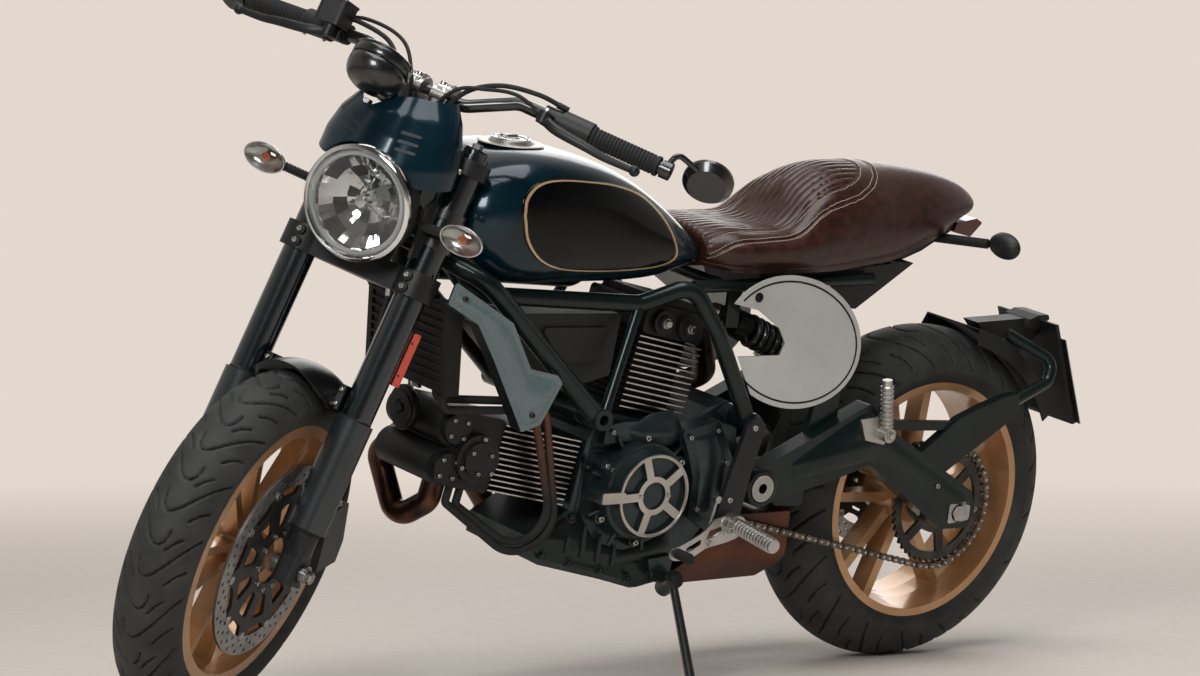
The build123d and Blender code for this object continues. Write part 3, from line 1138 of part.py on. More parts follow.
nose_up, nose_down = -2.0, 3.0
for _ in range(60):
    PITCH_DOWN = (nose_up + nose_down) / 2
    front, rear = wheel_heights(PITCH_DOWN)
    if front > rear:
        nose_up = PITCH_DOWN
    else:
        nose_down = PITCH_DOWN
LIFT = -min(front, rear)
PARK = Pos(0, 0, LIFT) * Rot(-LEAN, 0, 0) * Rot(0, PITCH_DOWN, 0)
UNPARK = PARK.inverse()
print("pitch", round(PITCH_DOWN, 4), "lift", round(LIFT, 3))

# Side stand: drawn on the upright machine, its foot cut square to the parked floor
FOOT = Vector(643, 252, 50)
foot_floor = UNPARK * Plane.XY
FLOOR = Plane(origin=foot_floor.origin, z_dir=foot_floor.z_dir)
down = FLOOR.to_local_coords(FOOT)
FOOT_FLOOR = FLOOR.from_local_coords(Vector(down.X, down.Y, 0))
with BuildPart() as side_stand:
    rod(STAND_PIVOT - STAND_AXIS * 8, STAND_PIVOT + STAND_AXIS * 8, 17)
    reach = FOOT_FLOOR - STAND_PIVOT
    rod(STAND_PIVOT + reach * 0.06, FOOT_FLOOR + FLOOR.z_dir * 12, 7.6, 9)
    with BuildSketch(Plane(origin=FOOT_FLOOR, x_dir=(1, 0, 0), z_dir=FLOOR.z_dir)) as pad:
        RectangleRounded(70, 42, 14)
    extrude(pad.sketch, amount=8)
    rod(STAND_PIVOT - STAND_AXIS * 12, STAND_PIVOT + STAND_AXIS * 12, 6 + RUN_FIT,
        mode=Mode.SUBTRACT)
keep("side_stand", side_stand)

# Every piece in its parked place, with the origin under the middle of the whole machine
placed = {}
for label, (piece, steered) in PIECES.items():
    if steered:
        piece = piece.rotate(Axis(STEER_FOOT, UP_FORK), STEER_REST)
    placed[label] = PARK * piece
boxes = [piece.bounding_box() for piece in placed.values()]
low = [min(getattr(box.min, axis) for box in boxes) for axis in "XYZ"]
high = [max(getattr(box.max, axis) for box in boxes) for axis in "XYZ"]
HOME = Pos(-(low[0] + high[0]) / 2, -(low[1] + high[1]) / 2, -low[2])
print("size", [round(h - l, 1) for l, h in zip(low, high)], "lowest", round(low[2], 4))
os.makedirs("parts", exist_ok=True)
for label, piece in placed.items():
    piece = HOME * piece
    piece.label = label
    export_step(piece, f"parts/{label}.step")

ROW = HOME * PARK
FRONT_HUB = STEER_FOOT + steered_vector(FRONT_AXLE - STEER_FOOT, STEER_REST)
for name, point, axis in (
        ("boss_left", Vector(NODE_F[0], NODE_Y + 4, NODE_F[1]), Vector(0, 1, 0)),
        ("boss_right", Vector(NODE_F[0], -NODE_Y - 4, NODE_F[1]), Vector(0, -1, 0)),
        ("pivot_bore", Vector(PIVOT[0], 0, PIVOT[1]), Vector(0, 1, 0)),
        ("steering", STEER_FOOT, UP_FORK),
        ("front_wheel_spin", FRONT_HUB, steered_vector(Vector(0, 1, 0), STEER_REST)),
        ("rear_wheel_spin", REAR_AXLE, Vector(0, 1, 0)),
        ("side_stand", STAND_PIVOT, STAND_AXIS)):
    at = (ROW * Pos(*point)).position
    tip = (ROW * Pos(*(point + axis))).position
    print("joint", name, [round(c / 1000, 6) for c in at], [round(c, 6) for c in tip - at])
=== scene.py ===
# %% [markdown]
# Cafe racer motorcycle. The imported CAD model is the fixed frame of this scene: every visible
# piece below is built in the machine's own upright millimetres, then carried to its parked place
# (leaning on the side stand, bars on the left stop) by two matrices that are read from the joints.

# %% Tools and the CAD frame
import json
from math import asin, cos, exp, pi, radians, sin, sqrt

import bmesh
import bpy
import numpy as np
from mathutils import Matrix, Vector
from mathutils.bvhtree import BVHTree
from mathutils.geometry import tessellate_polygon


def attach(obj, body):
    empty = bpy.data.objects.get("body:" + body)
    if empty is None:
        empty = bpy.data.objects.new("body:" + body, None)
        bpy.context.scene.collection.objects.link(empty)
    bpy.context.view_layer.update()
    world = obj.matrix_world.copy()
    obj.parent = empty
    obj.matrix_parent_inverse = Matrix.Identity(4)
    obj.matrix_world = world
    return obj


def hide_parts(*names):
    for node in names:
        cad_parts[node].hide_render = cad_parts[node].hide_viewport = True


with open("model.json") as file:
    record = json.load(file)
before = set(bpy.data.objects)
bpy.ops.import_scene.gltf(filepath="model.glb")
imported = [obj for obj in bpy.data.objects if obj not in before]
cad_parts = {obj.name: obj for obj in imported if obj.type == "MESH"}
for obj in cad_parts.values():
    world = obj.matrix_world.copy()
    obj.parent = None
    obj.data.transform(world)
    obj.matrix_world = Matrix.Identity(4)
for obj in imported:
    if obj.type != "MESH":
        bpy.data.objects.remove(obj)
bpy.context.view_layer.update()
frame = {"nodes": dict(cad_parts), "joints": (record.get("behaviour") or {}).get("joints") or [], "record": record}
NODES = frame["nodes"]
JOINTS = {joint["name"]: joint for joint in frame["joints"]}
bpy.context.scene.view_settings.view_transform = "Standard"

# %% [markdown]
# The parked place is known from two axes: the rear axle was along +Y on the upright machine, and
# the steering axis leaned back by the rake. A rotation and a shift follow from them.

# %% From upright millimetres to the parked machine
RAKE, STEER_REST = radians(21.8), radians(31.87)
WHEELBASE, TRAIL = 1436.0, 93.9
FRONT_R, REAR_R = 300.0, 315.0


def columns(x, y, z):
    """A rotation matrix from three unit vectors."""
    return Matrix((x, y, z)).transposed()


spin_axis = Vector(JOINTS["rear_wheel_spin"]["axis"]).normalized()
steer_axis = Vector(JOINTS["steering"]["axis"]).normalized()
up_fork = Vector((-sin(RAKE), 0, cos(RAKE)))
drawn = columns(Vector((0, 1, 0)).cross(up_fork), Vector((0, 1, 0)), up_fork)
parked = columns(spin_axis.cross(steer_axis).normalized(), spin_axis, steer_axis)
TURN = parked @ drawn.inverted()
REAR_HUB = Vector(JOINTS["rear_wheel_spin"]["pos_m"])
SHIFT = REAR_HUB - TURN @ Vector((0, 0, REAR_R / 1000))
CHASSIS = Matrix.Translation(SHIFT) @ TURN.to_4x4() @ Matrix.Scale(0.001, 4)
STEER_FOOT = Vector((WHEELBASE + TRAIL, 0, 0))
STEERED = (CHASSIS @ Matrix.Translation(STEER_FOOT)
           @ Matrix.Rotation(STEER_REST, 4, up_fork) @ Matrix.Translation(-STEER_FOOT))
print("rear hub", REAR_HUB, "turn", TURN)

# %% [markdown]
# The camera was solved from the photograph: its place, its aim and a 108 mm view, with no shift.
# The focal length was found in pixels, and a lens in millimetres is that share of the sensor.

# %% Camera
CAMERA_AT = Vector((3.7990, 4.8821, 0.79805))
YAW, PITCH, ROLL = radians(-127.146), radians(-1.803), radians(0.047)
SENSOR, FOCAL_PX, PHOTO_PX = 36.0, 3616.5, 1200.0     # mm, then pixels
view = Vector((cos(PITCH) * cos(YAW), cos(PITCH) * sin(YAW), sin(PITCH)))
camera = bpy.data.objects.new("photo_camera", bpy.data.cameras.new("photo_camera"))
camera.data.lens, camera.data.sensor_width = SENSOR * FOCAL_PX / PHOTO_PX, SENSOR
camera.matrix_world = (Matrix.Translation(CAMERA_AT) @ view.to_track_quat("-Z", "Y").to_matrix().to_4x4()
                       @ Matrix.Rotation(ROLL, 4, "Z"))
bpy.context.scene.collection.objects.link(camera)
bpy.context.scene.camera = camera
print("lens", round(camera.data.lens, 1), "mm")

# %% [markdown]
# Materials are trees of shader nodes. Shaders expect linear colours, so one function turns the
# familiar hex codes into them, and one function adds a node with its settings and links.

# %% Colours and shader nodes
def linear(code):
    """An sRGB hex colour as linear RGBA, which is what the shaders expect."""
    parts = [int(code[i:i + 2], 16) / 255 for i in (1, 3, 5)]
    return [c / 12.92 if c <= 0.04045 else ((c + 0.055) / 1.055) ** 2.4 for c in parts] + [1.0]


def add_node(tree, kind, inputs=None, **settings):
    """Add a node. An input is a plain value, or a socket that it is linked to."""
    node = tree.nodes.new("ShaderNode" + kind)
    for name, value in settings.items():
        setattr(node, name, value)
    for name, value in (inputs or {}).items():
        if isinstance(value, bpy.types.NodeSocket):
            tree.links.new(value, node.inputs[name])
        else:
            node.inputs[name].default_value = value
    return node


def per_metre(size_mm):
    """The texture scale that repeats a pattern every size_mm."""
    return 1000.0 / size_mm


def new_finish(name, colour, **surface):
    """A material with its shader's own sockets set, and object coordinates to draw patterns in."""
    material = bpy.data.materials.new(name)
    material.use_nodes = True
    tree = material.node_tree
    shader = tree.nodes["Principled BSDF"]
    shader.inputs["Base Color"].default_value = linear(colour)
    for socket, value in surface.items():
        shader.inputs[socket.replace("_", " ")].default_value = value
    place = add_node(tree, "TexCoord").outputs["Object"]
    return material, tree, shader, place

# %% [markdown]
# The studio is a pale floor that takes the machine's shadow. A floor has an edge, which would show
# behind the machine, so for the camera it fades into the backdrop's own colour with distance.

# %% Floor
BACKDROP = "#E3D8CE"
FADE_FROM, FADE_TO = 1.6, 5.5     # metres from the middle
floor_finish, floor_tree, floor_shader, floor_place = new_finish("pale_paving", "#D9CFC6", Roughness=0.75)
grit = add_node(floor_tree, "TexNoise", {"Vector": floor_place, "Scale": per_metre(30), "Detail": 6.0})
tint = add_node(floor_tree, "ValToRGB", {"Fac": grit.outputs["Fac"]})
tint.color_ramp.elements[0].color, tint.color_ramp.elements[1].color = linear("#CFC5BC"), linear("#E0D7CE")
floor_tree.links.new(tint.outputs["Color"], floor_shader.inputs["Base Color"])
reach = add_node(floor_tree, "VectorMath", {0: floor_place}, operation="LENGTH")
far = add_node(floor_tree, "MapRange", {"Value": reach.outputs["Value"], "From Min": FADE_FROM,
                                        "From Max": FADE_TO}, interpolation_type="SMOOTHSTEP")
camera_only = add_node(floor_tree, "LightPath").outputs["Is Camera Ray"]
fade = add_node(floor_tree, "Math", {0: far.outputs[0], 1: camera_only}, operation="MULTIPLY")
glow = add_node(floor_tree, "Emission", {"Color": linear(BACKDROP), "Strength": 1.0})
blend = add_node(floor_tree, "MixShader", {0: fade.outputs[0], 1: floor_shader.outputs[0],
                                           2: glow.outputs[0]})
floor_tree.links.new(blend.outputs[0], floor_tree.nodes["Material Output"].inputs["Surface"])
bpy.ops.mesh.primitive_grid_add(x_subdivisions=8, y_subdivisions=8, size=60.0)
ground = bpy.context.active_object
ground.name = "studio_floor"
ground.data.materials.append(floor_finish)
print("floor faces", len(ground.data.polygons))

# %% [markdown]
# The camera sees the plain backdrop, and matt surfaces get a dim even light from the sky, which
# keeps the shadow soft. Mirrors and glass see a sky that is bright on one side and dark on the
# other, as in a street. That gives chrome something to reflect, and black paint stays black.

# %% Sky
DARK_SIDE = (0.12, 0.8, 0.59)                 # the way to the dark side
BRIGHT_SIDE_POWER, DARK_SIDE_POWER = 0.58, 0.07
world = bpy.data.worlds.new("pale_sky")
bpy.context.scene.world = world
world.use_nodes = True
sky = world.node_tree
sky.nodes.clear()
paths = add_node(sky, "LightPath")
mirrored = add_node(sky, "Math", {0: paths.outputs["Is Glossy Ray"], 1: paths.outputs["Is Transmission Ray"]},
                    operation="MAXIMUM")
ray = add_node(sky, "TexCoord").outputs["Generated"]
facing = add_node(sky, "VectorMath", {0: ray, 1: DARK_SIDE}, operation="DOT_PRODUCT")
shade = add_node(sky, "MapRange", {"Value": facing.outputs["Value"], "From Min": 0.0, "From Max": 0.7,
                                   "To Min": BRIGHT_SIDE_POWER, "To Max": DARK_SIDE_POWER},
                 interpolation_type="SMOOTHSTEP")
soft = add_node(sky, "Background", {"Color": linear("#E6E4E2"), "Strength": 0.29})
gloss = add_node(sky, "Background", {"Color": linear("#EDE6E0"), "Strength": shade.outputs[0]})
bright = add_node(sky, "Background", {"Color": linear(BACKDROP), "Strength": 1.0})
reflected = add_node(sky, "MixShader", {0: mirrored.outputs[0], 1: soft.outputs[0], 2: gloss.outputs[0]})
mixed = add_node(sky, "MixShader", {0: paths.outputs["Is Camera Ray"], 1: reflected.outputs[0],
                                    2: bright.outputs[0]})
sky.links.new(mixed.outputs[0], add_node(sky, "OutputWorld").inputs["Surface"])
print("sky nodes", len(sky.nodes))

# %% [markdown]
# Three broad area lamps stand in for the daylight of the photograph: one overhead, one in front on
# the left, and a weak one behind on the right that lifts the far edges.

# %% Lamps
def soft_lamp(name, at, aim, size, power):
    """A square area lamp at a point, turned towards another."""
    lamp = bpy.data.objects.new(name, bpy.data.lights.new(name, "AREA"))
    lamp.data.size, lamp.data.energy = size, power
    lamp.location = at
    lamp.rotation_euler = (Vector(aim) - Vector(at)).to_track_quat("-Z", "Y").to_euler()
    bpy.context.scene.collection.objects.link(lamp)
    print(name, power, "W")


soft_lamp("overhead", (0.2, 0.9, 4.6), (0, 0, 0.5), 3.2, 130)
soft_lamp("front_left", (3.4, 2.6, 2.6), (0, 0, 0.5), 1.3, 85)
soft_lamp("rear_right", (-3.0, -3.2, 2.6), (0, 0, 0.6), 2.5, 38)

# %% [markdown]
# No real surface has one tone or one polish. Two helpers give that to every finish: the first
# mixes two near tones and lets the roughness drift, the second raises a pattern on the surface.
# The second also rounds the look of sharp edges, because an edge that catches no light looks false.

# %% Tone, polish and relief
def uneven(tree, shader, colours, tone, span, gloss, rough):
    """Mix two near tones over one pattern, and let the roughness drift with another."""
    ramp = add_node(tree, "ValToRGB", {"Fac": tone.outputs["Fac"]})
    for element, position, colour in zip(ramp.color_ramp.elements, span, colours):
        element.position, element.color = position, linear(colour)
    tree.links.new(ramp.outputs["Color"], shader.inputs["Base Color"])
    drift = add_node(tree, "MapRange", {"Value": gloss.outputs["Fac"], "To Min": rough[0],
                                        "To Max": rough[1]})
    tree.links.new(drift.outputs[0], shader.inputs["Roughness"])


def relief(tree, shader, height, strength, distance, edge_mm=0.9):
    """Raise a pattern on the surface, and round the look of sharp edges unless edge_mm is 0."""
    inputs = {"Height": height, "Strength": strength, "Distance": distance}
    if edge_mm:
        inputs["Normal"] = add_node(tree, "Bevel", {"Radius": edge_mm / 1000}, samples=4).outputs[0]
    bump = add_node(tree, "Bump", inputs)
    tree.links.new(bump.outputs[0], shader.inputs["Normal"])

# %% [markdown]
# Each finish starts from what the real surface is. Painted parts are enamel: a coloured base under
# a clear coat, with a trace of orange peel. Castings have grain, bare alloy has the marks of
# brushing or polishing, rubber is matt and a little dusty where it meets the road.

# %% Painted, cast and bare metal
def enamel(name, colour, second, coat=0.6, roughness=0.35, flake=0.0, peel_mm=6.0, edge_mm=0.9,
           specular=0.5):
    """Enamel paint: two near tones, roughness that drifts, orange peel, and a clear coat."""
    material, tree, shader, place = new_finish(
        name, colour, Roughness=roughness, Metallic=flake, Coat_Weight=coat, Coat_Roughness=0.06,
        Specular_IOR_Level=specular)
    drift = add_node(tree, "TexNoise", {"Vector": place, "Scale": per_metre(90), "Detail": 3.0})
    peel = add_node(tree, "TexNoise", {"Vector": place, "Scale": per_metre(peel_mm), "Detail": 2.0})
    uneven(tree, shader, (colour, second), drift, (0.3, 0.7), peel, (roughness * 0.8, roughness * 1.25))
    relief(tree, shader, peel.outputs["Fac"], 0.05, 0.0002, edge_mm)
    return material


def bare_metal(name, colour, second, roughness, mark_mm=(1.5, 1.5, 1.5), depth=0.00008):
    """Bare metal: full metallic, with machining or polishing marks of a real size along each axis."""
    material, tree, shader, place = new_finish(name, colour, Roughness=roughness, Metallic=1.0)
    stretch = add_node(tree, "Mapping", {"Vector": place, "Scale": [per_metre(size) for size in mark_mm]})
    marks = add_node(tree, "TexNoise", {"Vector": stretch.outputs[0], "Scale": 1.0, "Detail": 5.0})
    stain = add_node(tree, "TexNoise", {"Vector": place, "Scale": per_metre(45), "Detail": 4.0})
    uneven(tree, shader, (colour, second), stain, (0.35, 0.68), marks, (roughness * 0.65, roughness * 1.4))
    relief(tree, shader, marks.outputs["Fac"], 0.5, depth)
    return material


def grained(name, colour, second, grain_mm, depth_mm, roughness, metallic=0.0):
    """A cast, moulded or rubber surface: a fine grain raised on it, and a slow drift of dust."""
    material, tree, shader, place = new_finish(name, colour, Roughness=roughness, Metallic=metallic)
    dust = add_node(tree, "TexNoise", {"Vector": place, "Scale": per_metre(60), "Detail": 6.0,
                                       "Roughness": 0.65})
    grain = add_node(tree, "TexNoise", {"Vector": place, "Scale": per_metre(grain_mm), "Detail": 3.0})
    uneven(tree, shader, (colour, second), dust, (0.38, 0.7), dust,
           (roughness * 0.85, min(1.0, roughness * 1.2)))
    relief(tree, shader, grain.outputs["Fac"], 0.6, depth_mm / 1000)
    return material

# %% [markdown]
# The colours were matched to equal spots in the photograph. After the two tones, paint has its
# clear coat, its roughness and its metal flake. A cast or moulded surface has the size and depth of
# its grain in millimetres, then its roughness. Bare metal has its roughness and its marks' size.

# %% The finishes of this machine
FINISH = {
    # Tyre rubber is matt, and grey with road dust.
    "tyre": grained("tyre_rubber", "#1F2222", "#363734", 1.2, 0.12, 0.66),
    # The wheels are cast alloy in bronze-gold paint.
    "wheel_gold": enamel("bronze_gold_wheel_paint", "#B4875A", "#CFA277", 0.5, 0.3, 0.5),
    # Brake discs are ground stainless steel: fine lines draw the light out across them.
    "disc_steel": bare_metal("ground_disc_steel", "#8E9090", "#A9AAA9", 0.3, (0.9, 6.0, 0.9)),
    # Blackened steel swallows light. Chain plates shine dully through a film of oil.
    "dark_steel": bare_metal("blackened_steel", "#3B3B3B", "#54524E", 0.42),
    "chain_steel": bare_metal("oiled_chain_steel", "#4A4540", "#6B645A", 0.38),
    # Turned steel is bright, with small tool marks that break up the lamps.
    "bare_steel": bare_metal("turned_steel", "#A3A3A1", "#BDBCB9", 0.26),
    # Yokes, brackets and levers are cast alloy under black powder coat: matt, finely pebbled.
    "black_cast": grained("black_powder_coat", "#131416", "#202224", 0.8, 0.06, 0.42, 0.2),
    # Clamps and foot plates are satin alloy. It gleams, and is too rough to mirror.
    "bare_alloy": bare_metal("satin_alloy", "#B4B2AE", "#C8C6C1", 0.34, (0.8, 0.8, 3.0)),
    # The bars have smooth black enamel. Grip rubber hardly shines, moulded plastic a little.
    "black_metal": enamel("black_bar_enamel", "#0B0C0D", "#141516", 0.7, 0.3),
    "black_rubber": grained("grip_rubber", "#101112", "#1C1D1D", 0.7, 0.08, 0.72),
    "black_plastic": grained("moulded_black_plastic", "#121314", "#1C1D1E", 0.9, 0.05, 0.5),
    # The fork tubes are enamelled a blue so dark that only the highlight shows it.
    "fork_dark": enamel("blue_black_fork_enamel", "#0B1418", "#101D22", 0.9, 0.22, 0.35),
    # Chrome plate mirrors the sky almost cleanly.
    "chrome": bare_metal("chrome_plate", "#D9DADB", "#E6E7E7", 0.07, (12, 12, 12), 0.00001),
    # The fork guards are grey enamel. The caliper is anodised alloy: dull, a little metallic.
    "guard_grey": enamel("fork_guard_grey", "#23282A", "#2C3234", 0.5, 0.35, 0.3),
    "caliper_grey": grained("anodised_caliper", "#3E4143", "#54575A", 0.6, 0.05, 0.38, 0.6),
    # Bodywork paint is polished, so reflections in it are long and clean.
    "body_teal": enamel("petrol_blue_paint", "#031A23", "#062834", 0.42, 0.2, 0.3, 9.0, 2.0, 0.26),
    "black_gloss": enamel("gloss_black_paint", "#040506", "#07090A", 0.3, 0.14, 0.0, 9.0, 2.0, 0.12),
    # Frame enamel is thinner and duller. Engine paint has fine metal flake in it.
    "frame_grey": enamel("frame_grey_enamel", "#0B1616", "#132222", 0.35, 0.36, 0.25, 9.0, 2.0, 0.25),
    "engine_grey": grained("engine_paint_grey", "#2C3637", "#3D494A", 0.9, 0.08, 0.28, 0.65),
    # Cylinders and cooler are painted matt to give off heat, so their fins look nearly flat.
    "cylinder_black": grained("cylinder_black_paint", "#0E1011", "#191B1C", 0.8, 0.08, 0.5, 0.2),
    "cooler_black": grained("cooler_matt_black", "#0D0E0E", "#191A1A", 0.7, 0.05, 0.62, 0.2),
    # The pipes have a burnt brown high-heat coat, and the silencers a black one.
    "exhaust_brown": enamel("heat_browned_pipe", "#3A2116", "#6A3A20", 0.15, 0.4, 0.6, 5.0),
    "exhaust_black": enamel("high_heat_black", "#141414", "#242220", 0.2, 0.42, 0.3),
    # The tail lens is red plastic, deep in colour and glossy.
    "lamp_red": enamel("dark_red_lens", "#4A0A0A", "#5C0E0C", 1.0, 0.15),
    # Light enamel on the plates is what makes their outline read from afar.
    "plate_white": enamel("silver_white_enamel", "#B7B8B7", "#C5C6C5", 0.8, 0.3, 0.3),
    "blank_plate": enamel("blank_plate_paint", "#B9B7AF", "#C4C2BB", 0.3, 0.4),
    # The oil hoses are copper brown near the cylinder, with a thread of metal in the weave.
    "hose_copper": grained("copper_brown_hose", "#5A3A28", "#6F4A33", 0.9, 0.06, 0.45, 0.3),
}
print("finishes", len(FINISH))

# %% [markdown]
# Clear lenses are moulded plastic over a bright bowl. Light has to pass through them, so they use
# transmission. The seat is real leather: pebbled grain, darker in the hollows, paler where it rubs.

# %% Clear lens and seat leather
def clear_lens(name, colour="#F4F6F6"):
    """Clear moulded plastic, slightly uneven, that light passes through."""
    material, tree, shader, place = new_finish(
        name, colour, Roughness=0.04, Transmission_Weight=1.0, IOR=1.45, Coat_Weight=0.3)
    wave = add_node(tree, "TexNoise", {"Vector": place, "Scale": per_metre(9), "Detail": 1.0})
    relief(tree, shader, wave.outputs["Fac"], 0.1, 0.0003, 0)
    return material


def leather(name, hollow, crown, grain_mm=1.6):
    """Waxed leather: cells of grain raised on the hide, tone that follows wear, a low sheen."""
    material, tree, shader, place = new_finish(name, hollow, Roughness=0.5, Specular_IOR_Level=0.45)
    cells = add_node(tree, "TexVoronoi", {"Vector": place, "Scale": per_metre(grain_mm)},
                     feature="SMOOTH_F1")
    wear = add_node(tree, "TexNoise", {"Vector": place, "Scale": per_metre(22), "Detail": 7.0,
                                       "Roughness": 0.6})
    uneven(tree, shader, (hollow, crown), wear, (0.35, 0.7), wear, (0.2, 0.4))
    relief(tree, shader, cells.outputs["Distance"], 0.5, 0.00035, 0)
    return material


FINISH["clear_lens"] = clear_lens("clear_moulded_lens")
FINISH["seat_leather"] = leather("brown_seat_leather", "#2A1610", "#43241A")
print("lens and leather ready")

# %% [markdown]
# The fine pieces add their own finishes. Several are the same metals again with finer marks, since
# a plated reflector, a mirror and a machined fin edge differ only in how smooth they were made.

# %% More finishes for the fine pieces
FINISH.update({
    "thread": grained("waxed_linen_thread", "#B7A48D", "#CDBBA3", 0.5, 0.05, 0.6),
    "gold_line": enamel("gold_coach_line", "#BE9C72", "#D0B18A", 0.6, 0.3, 0.3),
    "reflector": bare_metal("vacuum_plated_reflector", "#D2D4D5", "#E4E5E5", 0.05, (3, 3, 3), 0.00002),
    # A painted dark reflection: a darker plate for some of the headlight reflector's facets.
    "painted_dark_reflection": bare_metal("reflector_facet_painted_dark", "#2B3033", "#3D4245", 0.08, (3, 3, 3), 0.00002),
    "frosted": grained("frosted_lamp_glass", "#C9CDCE", "#DDE0E0", 0.8, 0.03, 0.25),
    "bright_cup": grained("silvered_lamp_cup", "#B5B2AC", "#C9C6C0", 3.0, 0.4, 0.2, 0.9),
    "orange_bulb": enamel("orange_bulb_glass", "#C24A1E", "#DA6A32", 1.0, 0.15),
    "bright_fin": bare_metal("machined_fin_edge", "#C2BDB6", "#D2CEC8", 0.35, (1, 4, 1)),
    "brushed_alloy": bare_metal("brushed_alloy_ring", "#B9B5AF", "#CBC7C1", 0.36, (0.5, 0.5, 6)),
    "mirror_glass": bare_metal("mirror_glass", "#C9CED0", "#D5D9DA", 0.03, (9, 9, 9), 0.000005),
    "chain_outer": bare_metal("chain_outer_plate", "#5E574C", "#7C7364", 0.34),
    "damper_black": grained("damper_black", "#121314", "#1D1E1F", 0.6, 0.03, 0.4, 0.4),
    "spring_paint": enamel("spring_powder_coat", "#1A1C1D", "#26292A", 0.6, 0.3),
    "button_grey": grained("switch_button_plastic", "#3A3C3E", "#4A4C4E", 0.6, 0.03, 0.45),
    "button_red": grained("stop_button_plastic", "#8E1A14", "#A4241C", 0.6, 0.03, 0.4),
    "dial_black": grained("printed_dial_black", "#0A0B0C", "#101112", 0.4, 0.01, 0.5),
    "dial_white": enamel("dial_print_white", "#D8D8D4", "#E2E2DE", 0.1, 0.5),
    "needle_red": enamel("needle_paint_red", "#B3261C", "#C43428", 0.2, 0.4),
    "red_reflector": enamel("prismatic_red_reflector", "#B8301C", "#D2482C", 1.0, 0.12, 0.3, 2.5),
    # The mudguard is satin black: paint over plastic, less polished than the tank.
    "satin_guard": grained("satin_black_mudguard", "#0B0C0D", "#131415", 0.9, 0.03, 0.33),
    # The radiator cheeks' pale blue-grey, paler than the frame behind them, is a painted
    #     # reflection of the sky on their outer faces.
    "cheek_painted_sky_sheen": enamel("cheek_blue_grey_painted_sky_sheen", "#56686B", "#5F7275", 0.6, 0.26, 0.1),
    # The bottom of each tyre groove is near black, darker than the tread round it.
    "groove_rubber": grained("tread_groove_rubber", "#050505", "#0A0A0A", 1.0, 0.05, 0.9),
    # Hot pipes turn straw and brown, and lose their shine.
    "header_tint": bare_metal("heat_tinted_header", "#33302E", "#6B4A3A", 0.36, (2, 2, 2)),
})
print("finishes in all", len(FINISH))

# %% [markdown]
# Every CAD node takes the finish of its slot in the record. Nodes that need more than one finish
# are copied and repainted face by face further down.

# %% Finishes on the CAD nodes
SLOT_OF = {part["node"]: part["material_slot"] for part in frame["record"]["subparts"]}
# Two nodes have a finish of their own, which tells more than their slot's.
FINER = {"front_mudguard": "satin_guard", "exhaust_headers": "header_tint"}
for node, shape in NODES.items():
    shape.data.materials.clear()
    shape.data.materials.append(FINISH[FINER.get(node, SLOT_OF[node])])
print("painted", len(SLOT_OF), "nodes")

# %% [markdown]
# The pieces below are drawn in upright millimetres and then carried to the parked machine, so a
# size in the code is the real size. The fork has its own frame, which leans back by the rake.

# %% Directions and places
LEFT, UP, AHEAD = Vector((0, 1, 0)), Vector((0, 0, 1)), Vector((1, 0, 0))
SIDES = ((1, "left"), (-1, "right"))
FRONT_AXLE, REAR_AXLE = Vector((WHEELBASE, 0, FRONT_R)), Vector((0, 0, REAR_R))
AHEAD_FORK = Vector((cos(RAKE), 0, sin(RAKE)))
PLACES = {"chassis": CHASSIS, "rear_wheel_set": CHASSIS, "steering": STEERED, "front_wheel_set": STEERED}


def at_fork(ahead, left, along):
    """A point in the fork's own frame: ahead of the axle, to the left, up along the legs."""
    return FRONT_AXLE + AHEAD_FORK * ahead + LEFT * left + up_fork * along


def turns(count, start=0.0):
    """Angles that share a full circle evenly."""
    return [start + 2 * pi * i / count for i in range(count)]


def spoke(hub, radius, turn):
    """A point beside a hub, as a spoke's end on a wheel that is seen from its side."""
    return Vector((hub[0] + radius * cos(turn), hub[1], hub[2] + radius * sin(turn)))


def polar(radius, turn):
    """The same in the two directions of a flat sheet."""
    return radius * cos(turn), radius * sin(turn)


print("hub check", CHASSIS @ REAR_AXLE, STEERED @ FRONT_AXLE, JOINTS["front_wheel_spin"]["pos_m"])

# %% [markdown]
# Turned parts are a profile spun about an axis, like work on a lathe. Bars and bolts are small
# profiles of the same kind. All of them are rows of vertices, joined row to row by faces.

# %% Turned parts
def join_rows(shape, rows, closed=True, finish=0):
    """Faces between each row of vertices and the next. A row of one vertex gives a fan."""
    for low, high in zip(rows, rows[1:]):
        steps = max(len(low), len(high))
        for i in range(steps if closed else steps - 1):
            j = (i + 1) % steps
            corners = [low[i % len(low)], low[j % len(low)], high[j % len(high)], high[i % len(high)]]
            corners = list(dict.fromkeys(corners))
            if len(corners) > 2:
                shape.faces.new(corners).material_index = finish


def circle(shape, middle, one, other, radius, steps):
    """A ring of vertices about a middle, in the plane of two directions."""
    return [shape.verts.new(middle + (one * cos(a) + other * sin(a)) * radius) for a in turns(steps)]


def lathe(shape, profile, start, axis, steps=48, finish=0):
    """Spin (along, radius) points about an axis. A radius of 0 closes an end."""
    axis = Vector(axis).normalized()
    side = axis.orthogonal().normalized()
    rings = []
    for along, radius in profile:
        middle = Vector(start) + axis * along
        rings.append(circle(shape, middle, side, axis.cross(side), radius, steps) if radius > 1e-6
                     else [shape.verts.new(middle)])
    join_rows(shape, rings, finish=finish)


def bar(shape, start, end, radius, steps=20, finish=0, round_end=0.25):
    """A round bar with softened ends."""
    start, end = Vector(start), Vector(end)
    length, soft = (end - start).length, radius * round_end
    lathe(shape, [(0, 0), (0, radius - soft), (soft, radius), (length - soft, radius),
                  (length, radius - soft), (length, 0)], start, end - start, steps, finish)


